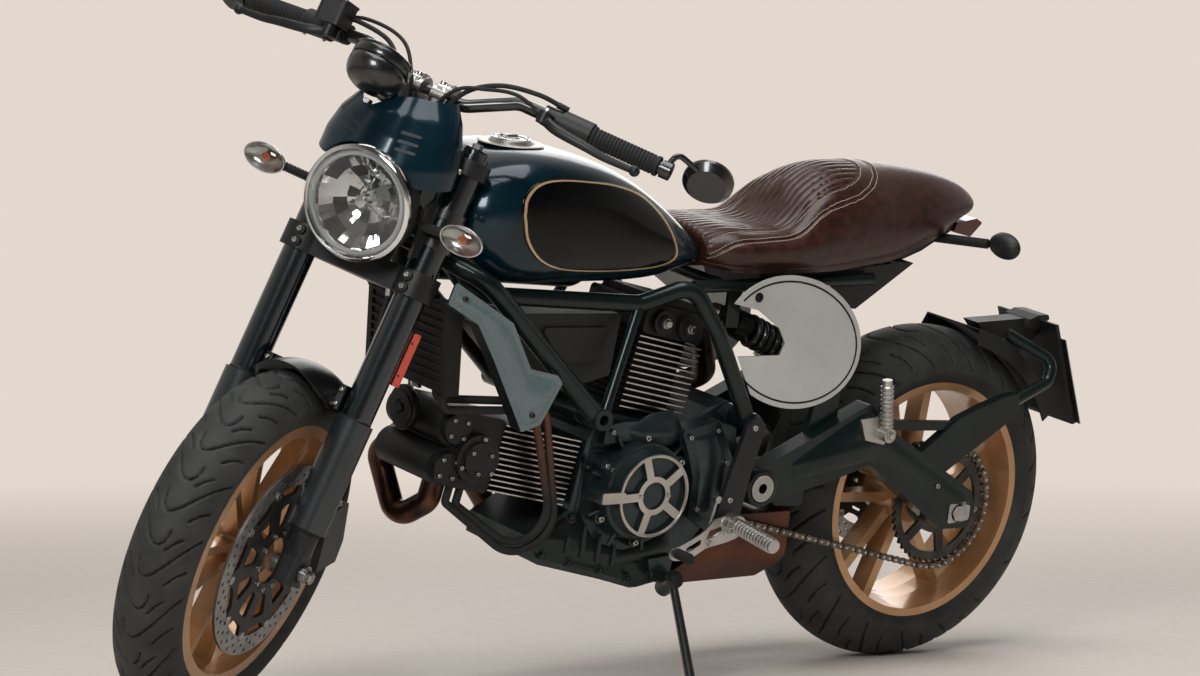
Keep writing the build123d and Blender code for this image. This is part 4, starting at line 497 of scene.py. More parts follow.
def hex_bolt(shape, at, axis, across_flats=13.0, finish=0):
    """A washer and a hexagon head with a chamfered top."""
    axis, reach, washer = Vector(axis).normalized(), across_flats / 2, 1.6
    lathe(shape, [(0, 0), (0, reach * 1.35), (washer, reach * 1.35), (washer, 0)], at, axis, 28, finish)
    lathe(shape, [(0, reach * 1.12), (reach * 0.85, reach * 1.12), (reach * 1.05, reach * 0.9),
                  (reach * 1.05, 0)], Vector(at) + axis * washer, axis, 6, finish)


def cap_bolt(shape, at, axis, head=10.0, finish=0):
    """A socket-head screw with its sunk socket."""
    r = head / 2
    lathe(shape, [(0, r), (r * 1.2, r), (r * 1.35, r * 0.85), (r * 1.35, r * 0.5), (r * 0.7, r * 0.45),
                  (r * 0.7, 0)], at, axis, 18, finish)


print("leans", round((CHASSIS.to_3x3() @ LEFT).angle(UP) * 180 / pi - 90, 1), "degrees to the left")

# %% [markdown]
# Pipes and cables follow a smooth line through a few points. Each ring of a pipe takes over the
# direction of the ring before it, so the tube doesn't twist where the line bends.

# %% Smooth lines and pipes
def cubic(a, b, c, d, t):
    """A smooth curve from b to c, for vectors and arrays. It leaves b along a-c, and meets c along b-d."""
    return 0.5 * (2 * b + (c - a) * t + (2 * a - 5 * b + 4 * c - d) * t ** 2
                  + (3 * b - a - 3 * c + d) * t ** 3)


def smooth_line(points, samples=8):
    """A smooth line through all the points, with so many samples between two of them."""
    points = [Vector(p) for p in points]
    ends = [points[0] * 2 - points[1]] + points + [points[-1] * 2 - points[-2]]
    line = [cubic(*four, i / samples) for four in zip(ends, ends[1:], ends[2:], ends[3:])
            for i in range(samples)]
    return line + [points[-1]]


def heading(line, k):
    """Which way a line runs at its point k."""
    return (line[min(k + 1, len(line) - 1)] - line[max(k - 1, 0)]).normalized()


def pipe(shape, points, radius, steps=14, finish=0, samples=8):
    """A round tube along a smooth curve that is steered by its points."""
    line, normal, rings = smooth_line(points, samples), None, []
    for k, point in enumerate(line):
        ahead = heading(line, k)
        leaning = ahead.orthogonal() if normal is None else normal - ahead * normal.dot(ahead)
        normal = leaning.normalized()
        rings.append(circle(shape, point, normal, ahead.cross(normal), radius, steps))
    shape.faces.new(rings[0][::-1]).material_index = finish
    join_rows(shape, rings, finish=finish)
    shape.faces.new(rings[-1]).material_index = finish


print("a smooth line through 3 points has", len(smooth_line([(0, 0, 0), (1, 0, 0), (1, 1, 0)])), "points")

# %% [markdown]
# A drawn shape becomes a piece in one place: it is carried to the parked machine, shaded smooth up
# to an angle, and told which body it rides on. Where it shows a CAD node better than the CAD does,
# it stands in for it, and that node is hidden.

# %% From a shape to a piece
def placed(name, mesh, body, node, finishes, replaces=False):
    """Finish and link a mesh, let it ride on its body, and hide the CAD node it replaces."""
    for finish in finishes:
        mesh.materials.append(FINISH[finish])
    piece = bpy.data.objects.new(name, mesh)
    bpy.context.scene.collection.objects.link(piece)
    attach(piece, body)
    if replaces:
        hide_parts(node)
    print(name, "faces", len(mesh.polygons))
    return piece


def piece_of(name, shape, body, node, finishes, sharp=35, replaces=False):
    """Carry a drawn shape to the parked machine and place it. Edges above sharp degrees stay hard."""
    shape.transform(PLACES[body])
    bmesh.ops.recalc_face_normals(shape, faces=shape.faces)
    mesh = bpy.data.meshes.new(name)
    shape.to_mesh(mesh)
    shape.free()
    mesh.polygons.foreach_set("use_smooth", [True] * len(mesh.polygons))
    mesh.set_sharp_from_angle(angle=radians(sharp))
    return placed(name, mesh, body, node, finishes, replaces)


def skin_of(points, faces):
    """A shape from an array of points and a list of faces, as point numbers."""
    mesh = bpy.data.meshes.new("skin")
    mesh.from_pydata(points.reshape(-1, 3).tolist(), [], faces)
    shape = bmesh.new()
    shape.from_mesh(mesh)
    bpy.data.meshes.remove(mesh)
    return shape


def tube_faces(here, there):
    """Faces between rows of point numbers and the rows after them, right round the section."""
    sides = np.stack([here[:, :-1], there[:, :-1], there[:, 1:], here[:, 1:]], -1).reshape(-1, 4)
    closing = np.stack([here[:, -1], there[:, -1], there[:, 0], here[:, 0]], -1)
    return np.concatenate([sides, closing]).tolist()


print("pieces ride on", sorted(PLACES))

# %% [markdown]
# A motorcycle tyre is nearly round in section. Its tread is moulded: long curved grooves run from
# the middle back to the shoulder, with short sipes between them. The grooves are real geometry,
# pressed into a fine ring of quads, so they catch the light from any side.

# %% Tread
GROOVE_DEPTH, GROOVE_HALF = 3.6, 3.2      # mm
SHOULDER, TREAD_PITCHES = radians(70), 17     # where grooves end, and repeats round the tyre


def segment_distance(x, y, a, b):
    """Distance from points to the straight line between a and b."""
    ax, ay, bx, by = *a, *b
    t = np.clip(((x - ax) * (bx - ax) + (y - ay) * (by - ay)) / ((bx - ax) ** 2 + (by - ay) ** 2), 0, 1)
    return np.hypot(x - ax - t * (bx - ax), y - ay - t * (by - ay))


# One pitch of the tread: lines of (share of the pitch, share of the way to the shoulder).
TREAD_LINES = [[p.xy for p in smooth_line([(x, y, 0) for x, y in line], 3)] for line in (
    ((0.98, 1.04), (0.76, 0.74), (0.46, 0.4), (0.25, 0.14), (0.2, -0.06), (0.29, -0.2), (0.46, -0.25)),
    ((0.66, 0.28), (0.8, 0.42), (0.9, 0.58)),
    ((0.16, 0.5), (0.32, 0.7), (0.42, 0.92)),
)]


def tread_depth(around, across, pitch, shoulder):
    """Depth of the tread grooves at a point: around is along the tyre, across is from the middle."""
    nearest = np.full_like(around, 99.0)
    for side, lag in ((1, 0.0), (-1, 0.5)):
        here = np.mod(around / pitch + lag, 1.0)
        for line in TREAD_LINES:
            for a, b in zip(line, line[1:]):
                for shift in (-1, 0, 1):
                    nearest = np.minimum(nearest, segment_distance(
                        (here + shift) * pitch, across * side, (a.x * pitch, a.y * shoulder),
                        (b.x * pitch, b.y * shoulder)))
    return GROOVE_DEPTH * np.clip(1.6 - 1.6 * nearest / GROOVE_HALF, 0, 1)


print("lines in one pitch of tread", len(TREAD_LINES))

# %% [markdown]
# A tyre is one closed ring of quads round the wheel. Each point is drawn in by the tread's depth
# there, and faces that lie deep get the darker finish of the grooves.

# %% Tyres
TYRE_STEPS, QUAD = 760, 2.5       # faces round the tyre, and the width of one across it, in mm
CROWN_TURN, BEAD_R = 156, 216     # degrees of the section that the crown spans, and mm
OFF_TREAD = 9e3                   # so far from the middle that no groove reaches


def tyre(node, body, axle, radius, half, bead):
    """Crown, sidewalls and beads of a tyre as one closed ring of quads."""
    crown_steps = int(half * CROWN_TURN * pi / 180 / QUAD)
    angles = [radians(-CROWN_TURN / 2 + CROWN_TURN * i / crown_steps) for i in range(crown_steps + 1)]
    section = [(half * sin(a), radius - half + half * cos(a), half * a, sin(a), cos(a)) for a in angles]
    edge_y, edge_r = section[-1][:2]
    wall = [(edge_y + (bead - edge_y) * t ** 1.6, edge_r + (BEAD_R - edge_r) * t, OFF_TREAD, 0, 0)
            for t in (0.3, 0.55, 0.8, 1.0)]
    ring = np.array([(-y, *rest) for y, *rest in reversed(wall)] + section + wall)
    turn = np.linspace(0, 2 * pi, TYRE_STEPS, endpoint=False)
    around, across = np.meshgrid(turn * radius, ring[:, 2], indexing="ij")
    depth = tread_depth(around, across, 2 * pi * radius / TREAD_PITCHES, half * SHOULDER)
    dent = np.where(np.abs(across) < OFF_TREAD / 10, depth, 0.0)
    y = ring[None, :, 0] - dent * ring[None, :, 3]
    r = ring[None, :, 1] - dent * ring[None, :, 4]
    points = np.stack([axle.x + r * np.cos(turn)[:, None], axle.y + y,
                       axle.z + r * np.sin(turn)[:, None]], axis=-1)
    index = np.arange(dent.size).reshape(dent.shape)
    shape = skin_of(points, tube_faces(index, np.roll(index, -1, axis=0)))
    sunk = np.stack([dent[:, :-1], np.roll(dent, -1, axis=0)[:, 1:]]).min(axis=0) > 0.55 * GROOVE_DEPTH
    for face, low in zip(shape.faces, sunk.reshape(-1)):
        face.material_index = int(low)
    piece_of(node + "_treaded", shape, body, node, ["tyre", "groove_rubber"], 180, replaces=True)


tyre("front_tyre", "front_wheel_set", FRONT_AXLE, FRONT_R - 0.4, 60.0, 44.2)
tyre("rear_tyre", "rear_wheel_set", REAR_AXLE, REAR_R - 2.0, 90.0, 69.7)

# %% [markdown]
# The seat is a leather cover sewn over foam. Its middle is quilted in long channels that end at a
# U-shaped seam, with a flat band and a second seam outside it. The skin here is one fine grid of
# quads: the cross-sections are splined together, then channels and seams are pressed in.

# %% Seat shape
SEAT_ROWS = (      # X, floor height, half width there, points up the flank, top height (mm)
    (608, 764, 66, ((88, 782), (84, 804), (56, 822)), 828),
    (556, 757, 112, ((124, 778), (120, 804), (80, 826)), 830),
    (500, 755, 118, ((130, 778), (127, 806), (88, 824)), 826),
    (430, 755, 120, ((133, 781), (131, 810), (94, 830)), 832),
    (370, 756, 118, ((130, 785), (128, 825), (90, 876)), 896),
    (313, 758, 112, ((124, 790), (119, 845), (78, 904)), 927),
    (240, 764, 100, ((113, 800), (108, 860), (64, 914)), 932),
    (164, 772, 88, ((100, 810), (95, 862), (54, 912)), 929),
    (60, 802, 66, ((82, 832), (78, 870), (44, 906)), 917),
    (-15, 833, 42, ((56, 848), (54, 872), (30, 892)), 899),
    (-62, 842, 18, ((28, 850), (30, 862), (16, 872)), 875),
)
ROW_STEPS, POINT_STEPS = 24, 34       # samples between two rows, and between two points of a row


def splined(points, samples):
    """A smooth curve through an array of points, along its first axis."""
    ends = np.concatenate([2 * points[:1] - points[1:2], points, 2 * points[-1:] - points[-2:-1]])
    t = np.linspace(0, 1, samples, endpoint=False).reshape((-1,) + (1,) * (points.ndim - 1))
    runs = [cubic(*four, t) for four in zip(ends, ends[1:], ends[2:], ends[3:])]
    return np.concatenate(runs + [points[-1:]])


rows = []
for x, low, half, flank, top in SEAT_ROWS:
    right = [(x, -half, low)] + [(x, -y, z) for y, z in flank]
    left = [(x, y, z) for y, z in reversed(flank)] + [(x, half, low)]
    rows.append(right + [(x, 0, top)] + left)
skin = np.swapaxes(splined(np.array(rows, float), ROW_STEPS), 0, 1)
skin = np.swapaxes(splined(skin, POINT_STEPS), 0, 1)
steps = np.linalg.norm(np.diff(skin, axis=1), axis=2)
arc = np.concatenate([np.zeros((len(skin), 1)), np.cumsum(steps, axis=1)], axis=1)
middle = skin.shape[1] // 2
arc = arc - arc[:, middle:middle + 1]
print("seat grid", skin.shape)

# %% [markdown]
# Channels and seams are a depth at each point of the skin, worked out from two distances: along the
# machine, and round the seat from its middle. The skin then moves in or out by that depth.

# %% Channels, seams and welt
U_CENTRE, INNER_U, OUTER_U = 330.0, (98.0, 90.0), (132.0, 121.0)     # length and half width, mm
CHANNEL, PUFF = 15.0, 3.0                # width and rise of a quilted channel, mm
WELT_AT, WELT_DEEP = 12, 1.6             # the welt's groove, from the lower edge, mm
END_ROUND, END_DROP = 14, 9              # how the skin turns in at the nose and the tail, mm


def inside_u(x, s, size):
    """Distance inside a U seam, negative outside: open to the front, round at the back."""
    length, half = size
    straight = half - np.abs(s)
    bow = (1 - np.hypot((U_CENTRE - x) / length, s / half)) * min(length, half)
    return np.where(x > U_CENTRE, straight, bow)


def crease(distance, width):
    """1 on a line, and less on both sides of it over this width in millimetres."""
    return np.exp(-(distance / width) ** 2)


inner, outer = inside_u(skin[..., 0], arc, INNER_U), inside_u(skin[..., 0], arc, OUTER_U)
quilt = np.clip(inner / 5, 0, 1)
wave = np.abs(np.mod(arc / CHANNEL + 0.5, 1.0) * 2 - 1)
press = quilt * (PUFF * (1 - wave ** 3.5) - PUFF + 0.6) + (1 - quilt) * 0.4
press -= 2.2 * crease(inner, 2.0) + 1.8 * crease(outer, 1.8)
press += crease(outer - 15, 9) * (inner < 0)
welt = np.minimum(arc - arc[:, :1], arc[:, -1:] - arc)
press -= WELT_DEEP * crease(welt - WELT_AT, 2.0)
end = np.minimum(skin[:, :1, 0] - SEAT_ROWS[-1][0], SEAT_ROWS[0][0] - skin[:, :1, 0])
roll = np.clip(end / END_ROUND, 0, 1)
press = press - END_DROP * (1 - np.sqrt(roll * (2 - roll)))
outward = np.cross(np.gradient(skin, axis=1), np.gradient(skin, axis=0))
outward /= np.linalg.norm(outward, axis=2, keepdims=True)
if outward[len(skin) // 2, middle, 2] < 0:
    outward = -outward
SEAT_SKIN = skin + outward * press[..., None]
print("pressed between", round(press.min(), 1), "and", round(press.max(), 1), "mm")

# %% [markdown]
# The cover is the pressed skin, closed underneath and at both ends. It replaces the CAD seat, and
# may swell a little past the solid form, as soft leather does.

# %% Seat cover
index = np.arange(arc.size).reshape(arc.shape)
faces = tube_faces(index[:-1], index[1:]) + [index[0].tolist(), index[-1, ::-1].tolist()]
cover = piece_of("seat_cover", skin_of(SEAT_SKIN, faces), "chassis", "seat", ["seat_leather"], 60,
                 replaces=True)

# %% [markdown]
# The thread is its own small piece, because stitches are what the eye looks for on a seat. Each
# stitch is a short plump bar on the skin, along lines beside the two seams.

# %% Thread
STITCH, STITCH_GAP, THREAD_R = 4.2, 1.7, 0.75     # mm


def seat_point(x, s):
    """The skin's point and outward direction at a distance along the machine and round the seat."""
    row = int(np.argmin(np.abs(skin[:, middle, 0] - x)))
    column = int(np.argmin(np.abs(arc[row] - s)))
    return Vector(SEAT_SKIN[row, column]), Vector(outward[row, column])


def u_line(size, shift):
    """Points (x, s) of a line beside a U seam, from the nose round to the nose."""
    length, half = size[0] + shift, size[1] + shift
    side = [(x, half) for x in range(600, int(U_CENTRE), -5)]
    bow = [(U_CENTRE - length * sin(t), half * cos(t)) for t in np.linspace(0, pi, 60)]
    return side + bow + [(x, -s) for x, s in reversed(side)]


def stitches(shape, line):
    """Stitches along a line of (x, s) points on the skin."""
    spots = [seat_point(*p) for p in line]
    places = np.array([tuple(spot + direction * 0.4) for spot, direction in spots])
    lengths = [(b[0] - a[0]).length for a, b in zip(spots, spots[1:])]
    marks = np.concatenate([[0.0], np.cumsum(lengths)])
    start = 0.0
    while start + STITCH < marks[-1]:
        ends = [Vector([np.interp(d, marks, places[:, k]) for k in range(3)])
                for d in (start, start + STITCH)]
        bar(shape, *ends, THREAD_R, steps=6, round_end=0.6)
        start += STITCH + STITCH_GAP


thread = bmesh.new()
for size, shift in ((INNER_U, 5.5), (OUTER_U, -4.5), (OUTER_U, 4.5)):
    stitches(thread, u_line(size, shift))
piece_of("seat_thread", thread, "chassis", "seat", ["thread"])

# %% [markdown]
# The tank's side panel is a separate thin cover with a gold line painted inside its edge. Both are
# laid onto the tank by casting rays at the CAD tank from the side, so they follow its curve.

# %% Tank panel and gold line
PANEL = ((1045, 866), (1040, 893), (1016, 914), (975, 922), (906, 919), (832, 909), (766, 888),
         (713, 850), (682, 806), (678, 781), (711, 768), (779, 764), (862, 764), (945, 771),
         (999, 790), (1033, 824))
PANEL_RINGS = ((1.0, 0.1), (0.996, 1.2)) + tuple((s, 1.6) for s in (0.985, 0.9, 0.75, 0.6, 0.45, 0.3, 0.15))
LINE_RINGS = ((0.978, 1.5), (0.978, 2.0), (0.948, 2.0), (0.948, 1.5))
tank = NODES["fuel_tank"].data
tank_side = BVHTree.FromPolygons([CHASSIS.inverted() @ v.co for v in tank.vertices],
                                 [p.vertices for p in tank.polygons])
edge = smooth_line([(x, 0, z) for x, z in PANEL + PANEL[:1]], 10)[:-1]
heart = sum(edge, Vector()) / len(edge)


def laid_on(x, z, side, lift):
    """The point of the tank seen from one side at X and Z, lifted off it."""
    hit, normal, _, _ = tank_side.ray_cast(Vector((x, side * 400, z)), Vector((0, -side, 0)))
    return hit + normal.normalized() * lift


def laid_rings(shape, rings, side):
    """Rings on the tank inside each other, each (share of the outline, lift in mm), and joined."""
    rows = [[shape.verts.new(laid_on(*(heart + (p - heart) * share).xz, side, lift)) for p in edge]
            for share, lift in rings]
    join_rows(shape, rows)
    return rows[-1]


for side, word in SIDES:
    panel, line = bmesh.new(), bmesh.new()
    panel.faces.new(laid_rings(panel, PANEL_RINGS, side))
    piece_of("tank_panel_" + word, panel, "chassis", "fuel_tank", ["black_gloss"], 50)
    laid_rings(line, LINE_RINGS, side)
    piece_of("tank_gold_line_" + word, line, "chassis", "fuel_tank", ["gold_line"])

# %% [markdown]
# The headlight has a chrome rim, a pressed and polished reflector with flat facets, and a bulb
# behind a small shield. A third of the facets are painted dark, as a painted reflection of dark
# surroundings. Clear lenses only look right with something bright and broken up behind them,
# so the bowl comes first and the glass last.

# %% Headlight
LAMP = Vector((1336, 0, 879))
BOWL_R, BOWL_DEEP, FACETS = 74, 44, 36     # mm, mm, and facets round the bowl
rim = bmesh.new()
lathe(rim, [(-9, 94.3), (-4, 95.4), (2, 94.8), (5, 92), (6, 88.5), (3.5, 86.6), (-2, 86.6)], LAMP, AHEAD, 96)
piece_of("headlight_rim", rim, "steering", "headlight_shell", ["chrome"])
bowl = bmesh.new()
lathe(bowl, [(-1, 86.4), (-3, 84), (-3, 76), (-8, BOWL_R)], LAMP, AHEAD, 96)
first_vert, first_facet = len(bowl.verts), len(bowl.faces)
profile = [(-8 - BOWL_DEEP * (1 - (r / BOWL_R) ** 2), r) for r in (BOWL_R, 66, 57, 48, 39, 30, 21)]
lathe(bowl, profile, LAMP, AHEAD, FACETS)
bowl.verts.ensure_lookup_table()
bowl.faces.ensure_lookup_table()
for k, vert in enumerate(bowl.verts[first_vert:]):
    # Every second corner is pressed deeper, so each facet looks another way.
    vert.co.x -= 2.4 * ((k // FACETS + k % FACETS) % 2)
# A third of the facets, in bands, take the dark finish as painted dark reflections.
for k, face in enumerate(bowl.faces[first_facet:]):
    face.material_index = int((k % FACETS // 3 + k // FACETS // 2) % 3 == 0)
lathe(bowl, [(-50, 21), (-54, 12), (-54, 0)], LAMP, AHEAD, 40)
piece_of("headlight_reflector", bowl, "steering", "headlight_shell", ["reflector", "painted_dark_reflection"], 4)

# %% [markdown]
# In the bowl stand a bulb on three thin legs and a frosted ring. The glass comes last: a dome with
# an inner and an outer skin, because light bends at both.

# %% Bulb, ring and glass of the headlight
GLASS_R, GLASS_RISE, GLASS_THICK = 86.0, 15, 2.4     # mm
ring_light = bmesh.new()
lathe(ring_light, [(-2.6, 83), (0.5, 82), (0.5, 77), (-2.6, 76)], LAMP, AHEAD, 96)
piece_of("headlight_inner_ring", ring_light, "steering", "headlight_lens", ["frosted"])
bulb = bmesh.new()
lathe(bulb, [(-53, 7), (-30, 7), (-24, 5), (-20, 0)], LAMP, AHEAD, 32)
lathe(bulb, [(-30, 12), (-16, 12), (-12, 9), (-11, 0)], LAMP, AHEAD, 32, finish=1)
for a in turns(3, pi / 2):
    foot, tip = (LAMP + Vector((x, *polar(r, a))) for x, r in ((-46, 40), (-22, 11)))
    bar(bulb, foot, tip, 1.6, 8, finish=1)
piece_of("headlight_bulb", bulb, "steering", "headlight_lens", ["frosted", "chrome"])
glass = bmesh.new()
dome = [(4 + GLASS_RISE * (1 - (r / GLASS_R) ** 2), r) for r in (GLASS_R, 80, 70, 58, 45, 30, 15, 0)]
lathe(glass, [(a - GLASS_THICK, r) for a, r in reversed(dome)] + dome, LAMP, AHEAD, 96)
piece_of("headlight_glass", glass, "steering", "headlight_lens", ["clear_lens"], 50, replaces=True)

# %% [markdown]
# Each indicator is an oval lamp on a ribbed rubber stalk: clear lens in front, a bright cup behind
# it and an orange bulb inside, as the photograph shows. It is turned round first and then squashed
# to an oval, which is easier than drawing an oval lamp.

# %% Indicators
LENS_R, SQUASH, STALK_RIB = 37.5, 0.62, 4.5     # mm, height over width, and mm from rib to rib


def squashed(shape, centre):
    """Flatten a shape about a centre, so a turned part becomes oval."""
    for vert in shape.verts:
        vert.co.z = centre.z + (vert.co.z - centre.z) * SQUASH


def ribs(count, pitch, low, high, marks):
    """A profile of equal ribs. The marks are where one starts, is full, ends and has ended."""
    return [(mark + pitch * k, radius) for k in range(count)
            for mark, radius in zip(marks, (low, high, high, low))]


def indicator(name, node, body, root, centre, ahead, stalk_r, finishes, replaces):
    """Cup, rim, bulb and stalk of one indicator, and its lens. ahead is -1 where it looks back."""
    root, centre, axis = Vector(root), Vector(centre), AHEAD * ahead
    lamp = bmesh.new()
    lathe(lamp, [(-15, 0), (-15, 20), (-11, 30), (-3, 37), (0, 38), (0, 36), (-4, 33), (-9, 26), (-12, 16),
                 (-12, 0)], centre, axis, 40)
    lathe(lamp, [(0, 38.4), (1.5, 38.8), (3, 38.0), (3, 35.6), (0, 35.6)], centre, axis, 40, finish=1)
    squashed(lamp, centre)
    bar(lamp, centre - axis * 11, centre + axis * 5, 8, 20, finish=2, round_end=0.8)
    near = centre + (root - centre).normalized() * 34
    reach, core = (root - near).length, stalk_r - 1.6
    count = int(reach / STALK_RIB)
    lathe(lamp, [(0, 0)] + ribs(count, reach / count, core, stalk_r, (0, 1.2, 3.0, 4.0))
          + [(reach, core), (reach, 0)], near, root - near, 24, finish=3)
    piece_of(name, lamp, body, node, finishes + ["orange_bulb", "black_rubber"], 40, replaces)
    lens = bmesh.new()
    shell = [(14 * sqrt(1 - (r / LENS_R) ** 2), r) for r in (37.4, 36, 32, 26, 18, 9, 0)]
    lathe(lens, [(a - 1.8 if r < 37 else a, r * 0.97) for a, r in reversed(shell)] + shell, centre, axis, 40)
    squashed(lens, centre)
    piece_of(name + "_lens", lens, body, node, ["clear_lens"], 50)


for side, word in SIDES:
    indicator("front_indicator_" + word, "front_indicators", "steering", (1280, side * 99.3, 868),
              (1320, side * 184, 884), 1, 8, ["bright_cup", "chrome"], side > 0)
    indicator("rear_indicator_" + word, "rear_indicators", "chassis", (30, side * 36.3, 799),
              (-14, side * 172, 811), -1, 9, ["black_plastic", "black_plastic"], side > 0)

# %% [markdown]
# Some CAD pieces carry two finishes, such as fins whose edges are machined bright. Such a piece is
# copied, and each face of the copy gets its finish from where it lies and which way it looks.

# %% Two finishes on one piece
def repainted(name, node, body, finishes, choose):
    """A copy of a CAD node, each face finished by its middle and direction, upright."""
    back = PLACES[body].inverted()
    turn = back.to_3x3().normalized()
    mesh = NODES[node].data.copy()
    mesh.name = name
    mesh.materials.clear()
    placed(name, mesh, body, node, finishes, replaces=True)
    for face in mesh.polygons:
        face.material_index = choose(back @ face.center, turn @ face.normal)


CRANK = Vector((705, 160, 381))
for word in ("front", "rear"):
    repainted(word + "_cylinder_bright_fins", word + "_cylinder", "chassis",
              ["cylinder_black", "bright_fin"], lambda at, way: int(87.5 < abs(at.y) < 88.5))
repainted("alternator_cover_faced", "alternator_cover", "chassis", ["engine_grey", "brushed_alloy"],
          lambda at, way: int(at.y > 159.5))
# The shrouds' side-facing faces take the pale blue-grey, a painted sky reflection; the rest stays black.
repainted("side_cheeks", "side_shrouds", "chassis", ["black_cast", "cheek_painted_sky_sheen"],
          lambda at, way: int(abs(way.y) > 0.7 and abs(at.y) > 160))
repainted("foot_controls_faced", "foot_controls", "chassis", ["black_cast", "bare_alloy"],
          lambda at, way: int(abs(at.y) > 178.5))
repainted("blank_licence_plate", "licence_plate", "chassis", ["black_plastic", "blank_plate"],
          lambda at, way: int(way.x < 0.3))
MIRROR_WAY = Vector((0.86, 0.3, -0.4)).normalized()
repainted("mirrors_with_glass", "mirrors", "steering", ["black_metal", "mirror_glass"],
          lambda at, way: int(-way.x * MIRROR_WAY.x - abs(way.y) * MIRROR_WAY.y
                              - way.z * MIRROR_WAY.z > 0.97 and abs(at.y) > 400))

# %% [markdown]
# Sheet parts are cut from flat stock: an outline with holes, given a thickness. The outline's
# corners are rounded first, since no tool cuts a perfectly sharp one.

# %% Sheet parts
def ring_loop(radius, count=64, middle=(0, 0)):
    """Points of a circle, in the sheet's own two directions."""
    return [(middle[0] + radius * cos(a), middle[1] + radius * sin(a)) for a in turns(count)]


def neighbours(loop):
    """Each corner of a loop between the one before it and the one after it."""
    return zip(loop[-1:] + loop[:-1], loop, loop[1:] + loop[:1])


def rounded(corners, radius, count=5):
    """A polygon with rounded corners."""
    loop = []
    for before, here, after in neighbours(corners):
        here, a, b = Vector(here), Vector(before) - Vector(here), Vector(after) - Vector(here)
        reach = min(radius, a.length / 2.1, b.length / 2.1)
        start, end = here + a.normalized() * reach, here + b.normalized() * reach
        for i in range(count + 1):
            t = i / count
            loop.append(tuple(start * (1 - t) ** 2 + here * 2 * t * (1 - t) + end * t ** 2))
    return loop


def sheet(shape, loops, origin, across, up, thickness, finish=0):
    """A flat plate from an outline and its holes, thickened towards across x up."""
    origin, across, up = Vector(origin), Vector(across), Vector(up)
    rise = across.cross(up).normalized() * thickness
    low = [shape.verts.new(origin + across * u + up * v) for loop in loops for u, v in loop]
    high = [shape.verts.new(vert.co + rise) for vert in low]
    for tri in tessellate_polygon([[Vector((u, v, 0)) for u, v in loop] for loop in loops]):
        shape.faces.new([low[k] for k in tri]).material_index = finish
        shape.faces.new([high[k] for k in tri][::-1]).material_index = finish
    start = 0
    for loop in loops:
        part = slice(start, start + len(loop))
        join_rows(shape, (low[part], high[part]), finish=finish)
        start += len(loop)


print("a square with round corners has", len(rounded([(-1, -1), (1, -1), (1, 1), (-1, 1)], 0.5)), "points")

# %% [markdown]
# A brake disc is two sheets. The band is drilled to shed water and heat, and it hangs by a ring of
# buttons on a dark carrier with windows.

# %% Brake discs
DISC_THICK, BAND, HOLE_ROWS, HOLE_R = 5, 33, 3, 3.3     # mm, mm, count, mm


def brake_disc(end, hub, y, radius, carrier_r, hub_r, arms):
    """Drilled band, dark carrier with windows, and the buttons that join them."""
    disc, start = bmesh.new(), Vector((hub.x, y, hub.z))
    holes = []
    for row in range(HOLE_ROWS):
        r = radius - BAND + 7 + (BAND - 14) * row / (HOLE_ROWS - 1)
        holes += [ring_loop(HOLE_R, 10, polar(r, 2 * pi * (i + 0.5 * row) / (arms * 3)))
                  for i in range(arms * 3)]
    sheet(disc, [ring_loop(radius, 120), ring_loop(radius - BAND, 96)] + holes, start, AHEAD, UP, -DISC_THICK)
    half, outline, windows = pi / arms, [], []
    for a in turns(arms):
        outline += [polar(r, a + t * half) for r, t in (
            (carrier_r, -0.26), (carrier_r, 0.26), (carrier_r - 15, 0.5), (carrier_r - 18, 1),
            (carrier_r - 15, 1.5))]
        windows.append(rounded([polar(r, a + half + t * half) for r, t in (
            (hub_r + 12, -0.45), (carrier_r - 30, -0.6), (carrier_r - 30, 0.6), (hub_r + 12, 0.45))], 8, 3))
    sheet(disc, [outline, ring_loop(hub_r - 8, 48)] + windows, start - LEFT * 0.6, AHEAD, UP,
          -DISC_THICK - 1.2, 1)
    for a in turns(arms):
        lathe(disc, [(-2, 0), (-2, 7), (DISC_THICK + 2, 7), (DISC_THICK + 2, 3), (DISC_THICK + 1, 0)],
              spoke(start, radius - BAND - 1, a), LEFT, 16, 2)
        outer_face = LEFT * (DISC_THICK if y > 0 else 0)
        cap_bolt(disc, spoke(start, hub_r + 1, a) + outer_face, LEFT if y > 0 else -LEFT, 9, 2)
    piece_of(end + "_disc_drilled", disc, end + "_wheel_set", end + "_disc",
             ["disc_steel", "black_cast", "bare_steel"], replaces=True)


brake_disc("front", FRONT_AXLE, 64, 165, 133, 48, 10)
brake_disc("rear", REAR_AXLE, -84, 122.5, 92, 54, 8)

# %% [markdown]
# The drive chain is 102 links of figure-eight plates, wide and narrow pairs in turn, with rollers
# and riveted pins between them. The pins lie on the same loop as in the CAD model: two straight
# runs and two wraps, counted in pitches.

# %% The chain's loop
CHAIN_PITCH, LINKS, CHAIN_Y = 15.875, 102, 108.0     # mm, count, mm
REAR_TEETH, FRONT_TEETH, SPROCKET_RISE = 46, 15, 57.0
REAR_PR, FRONT_PR = (CHAIN_PITCH / (2 * sin(pi / teeth)) for teeth in (REAR_TEETH, FRONT_TEETH))
centres = 500.0
for _ in range(6):
    # A chain has whole links, so the sprockets' distance is moved until the loop fits them.
    lap = asin((REAR_PR - FRONT_PR) / centres)
    loop = (2 * centres * cos(lap) / CHAIN_PITCH + (pi + 2 * lap) / (2 * pi / REAR_TEETH)
            + (pi - 2 * lap) / (2 * pi / FRONT_TEETH))
    centres += (LINKS - loop) * CHAIN_PITCH / 2
lap, rise = asin((REAR_PR - FRONT_PR) / centres), asin(SPROCKET_RISE / centres)
REAR_SPROCKET = Vector((0, CHAIN_Y, REAR_R))
FRONT_SPROCKET = Vector((centres * cos(rise), CHAIN_Y, REAR_R + SPROCKET_RISE))


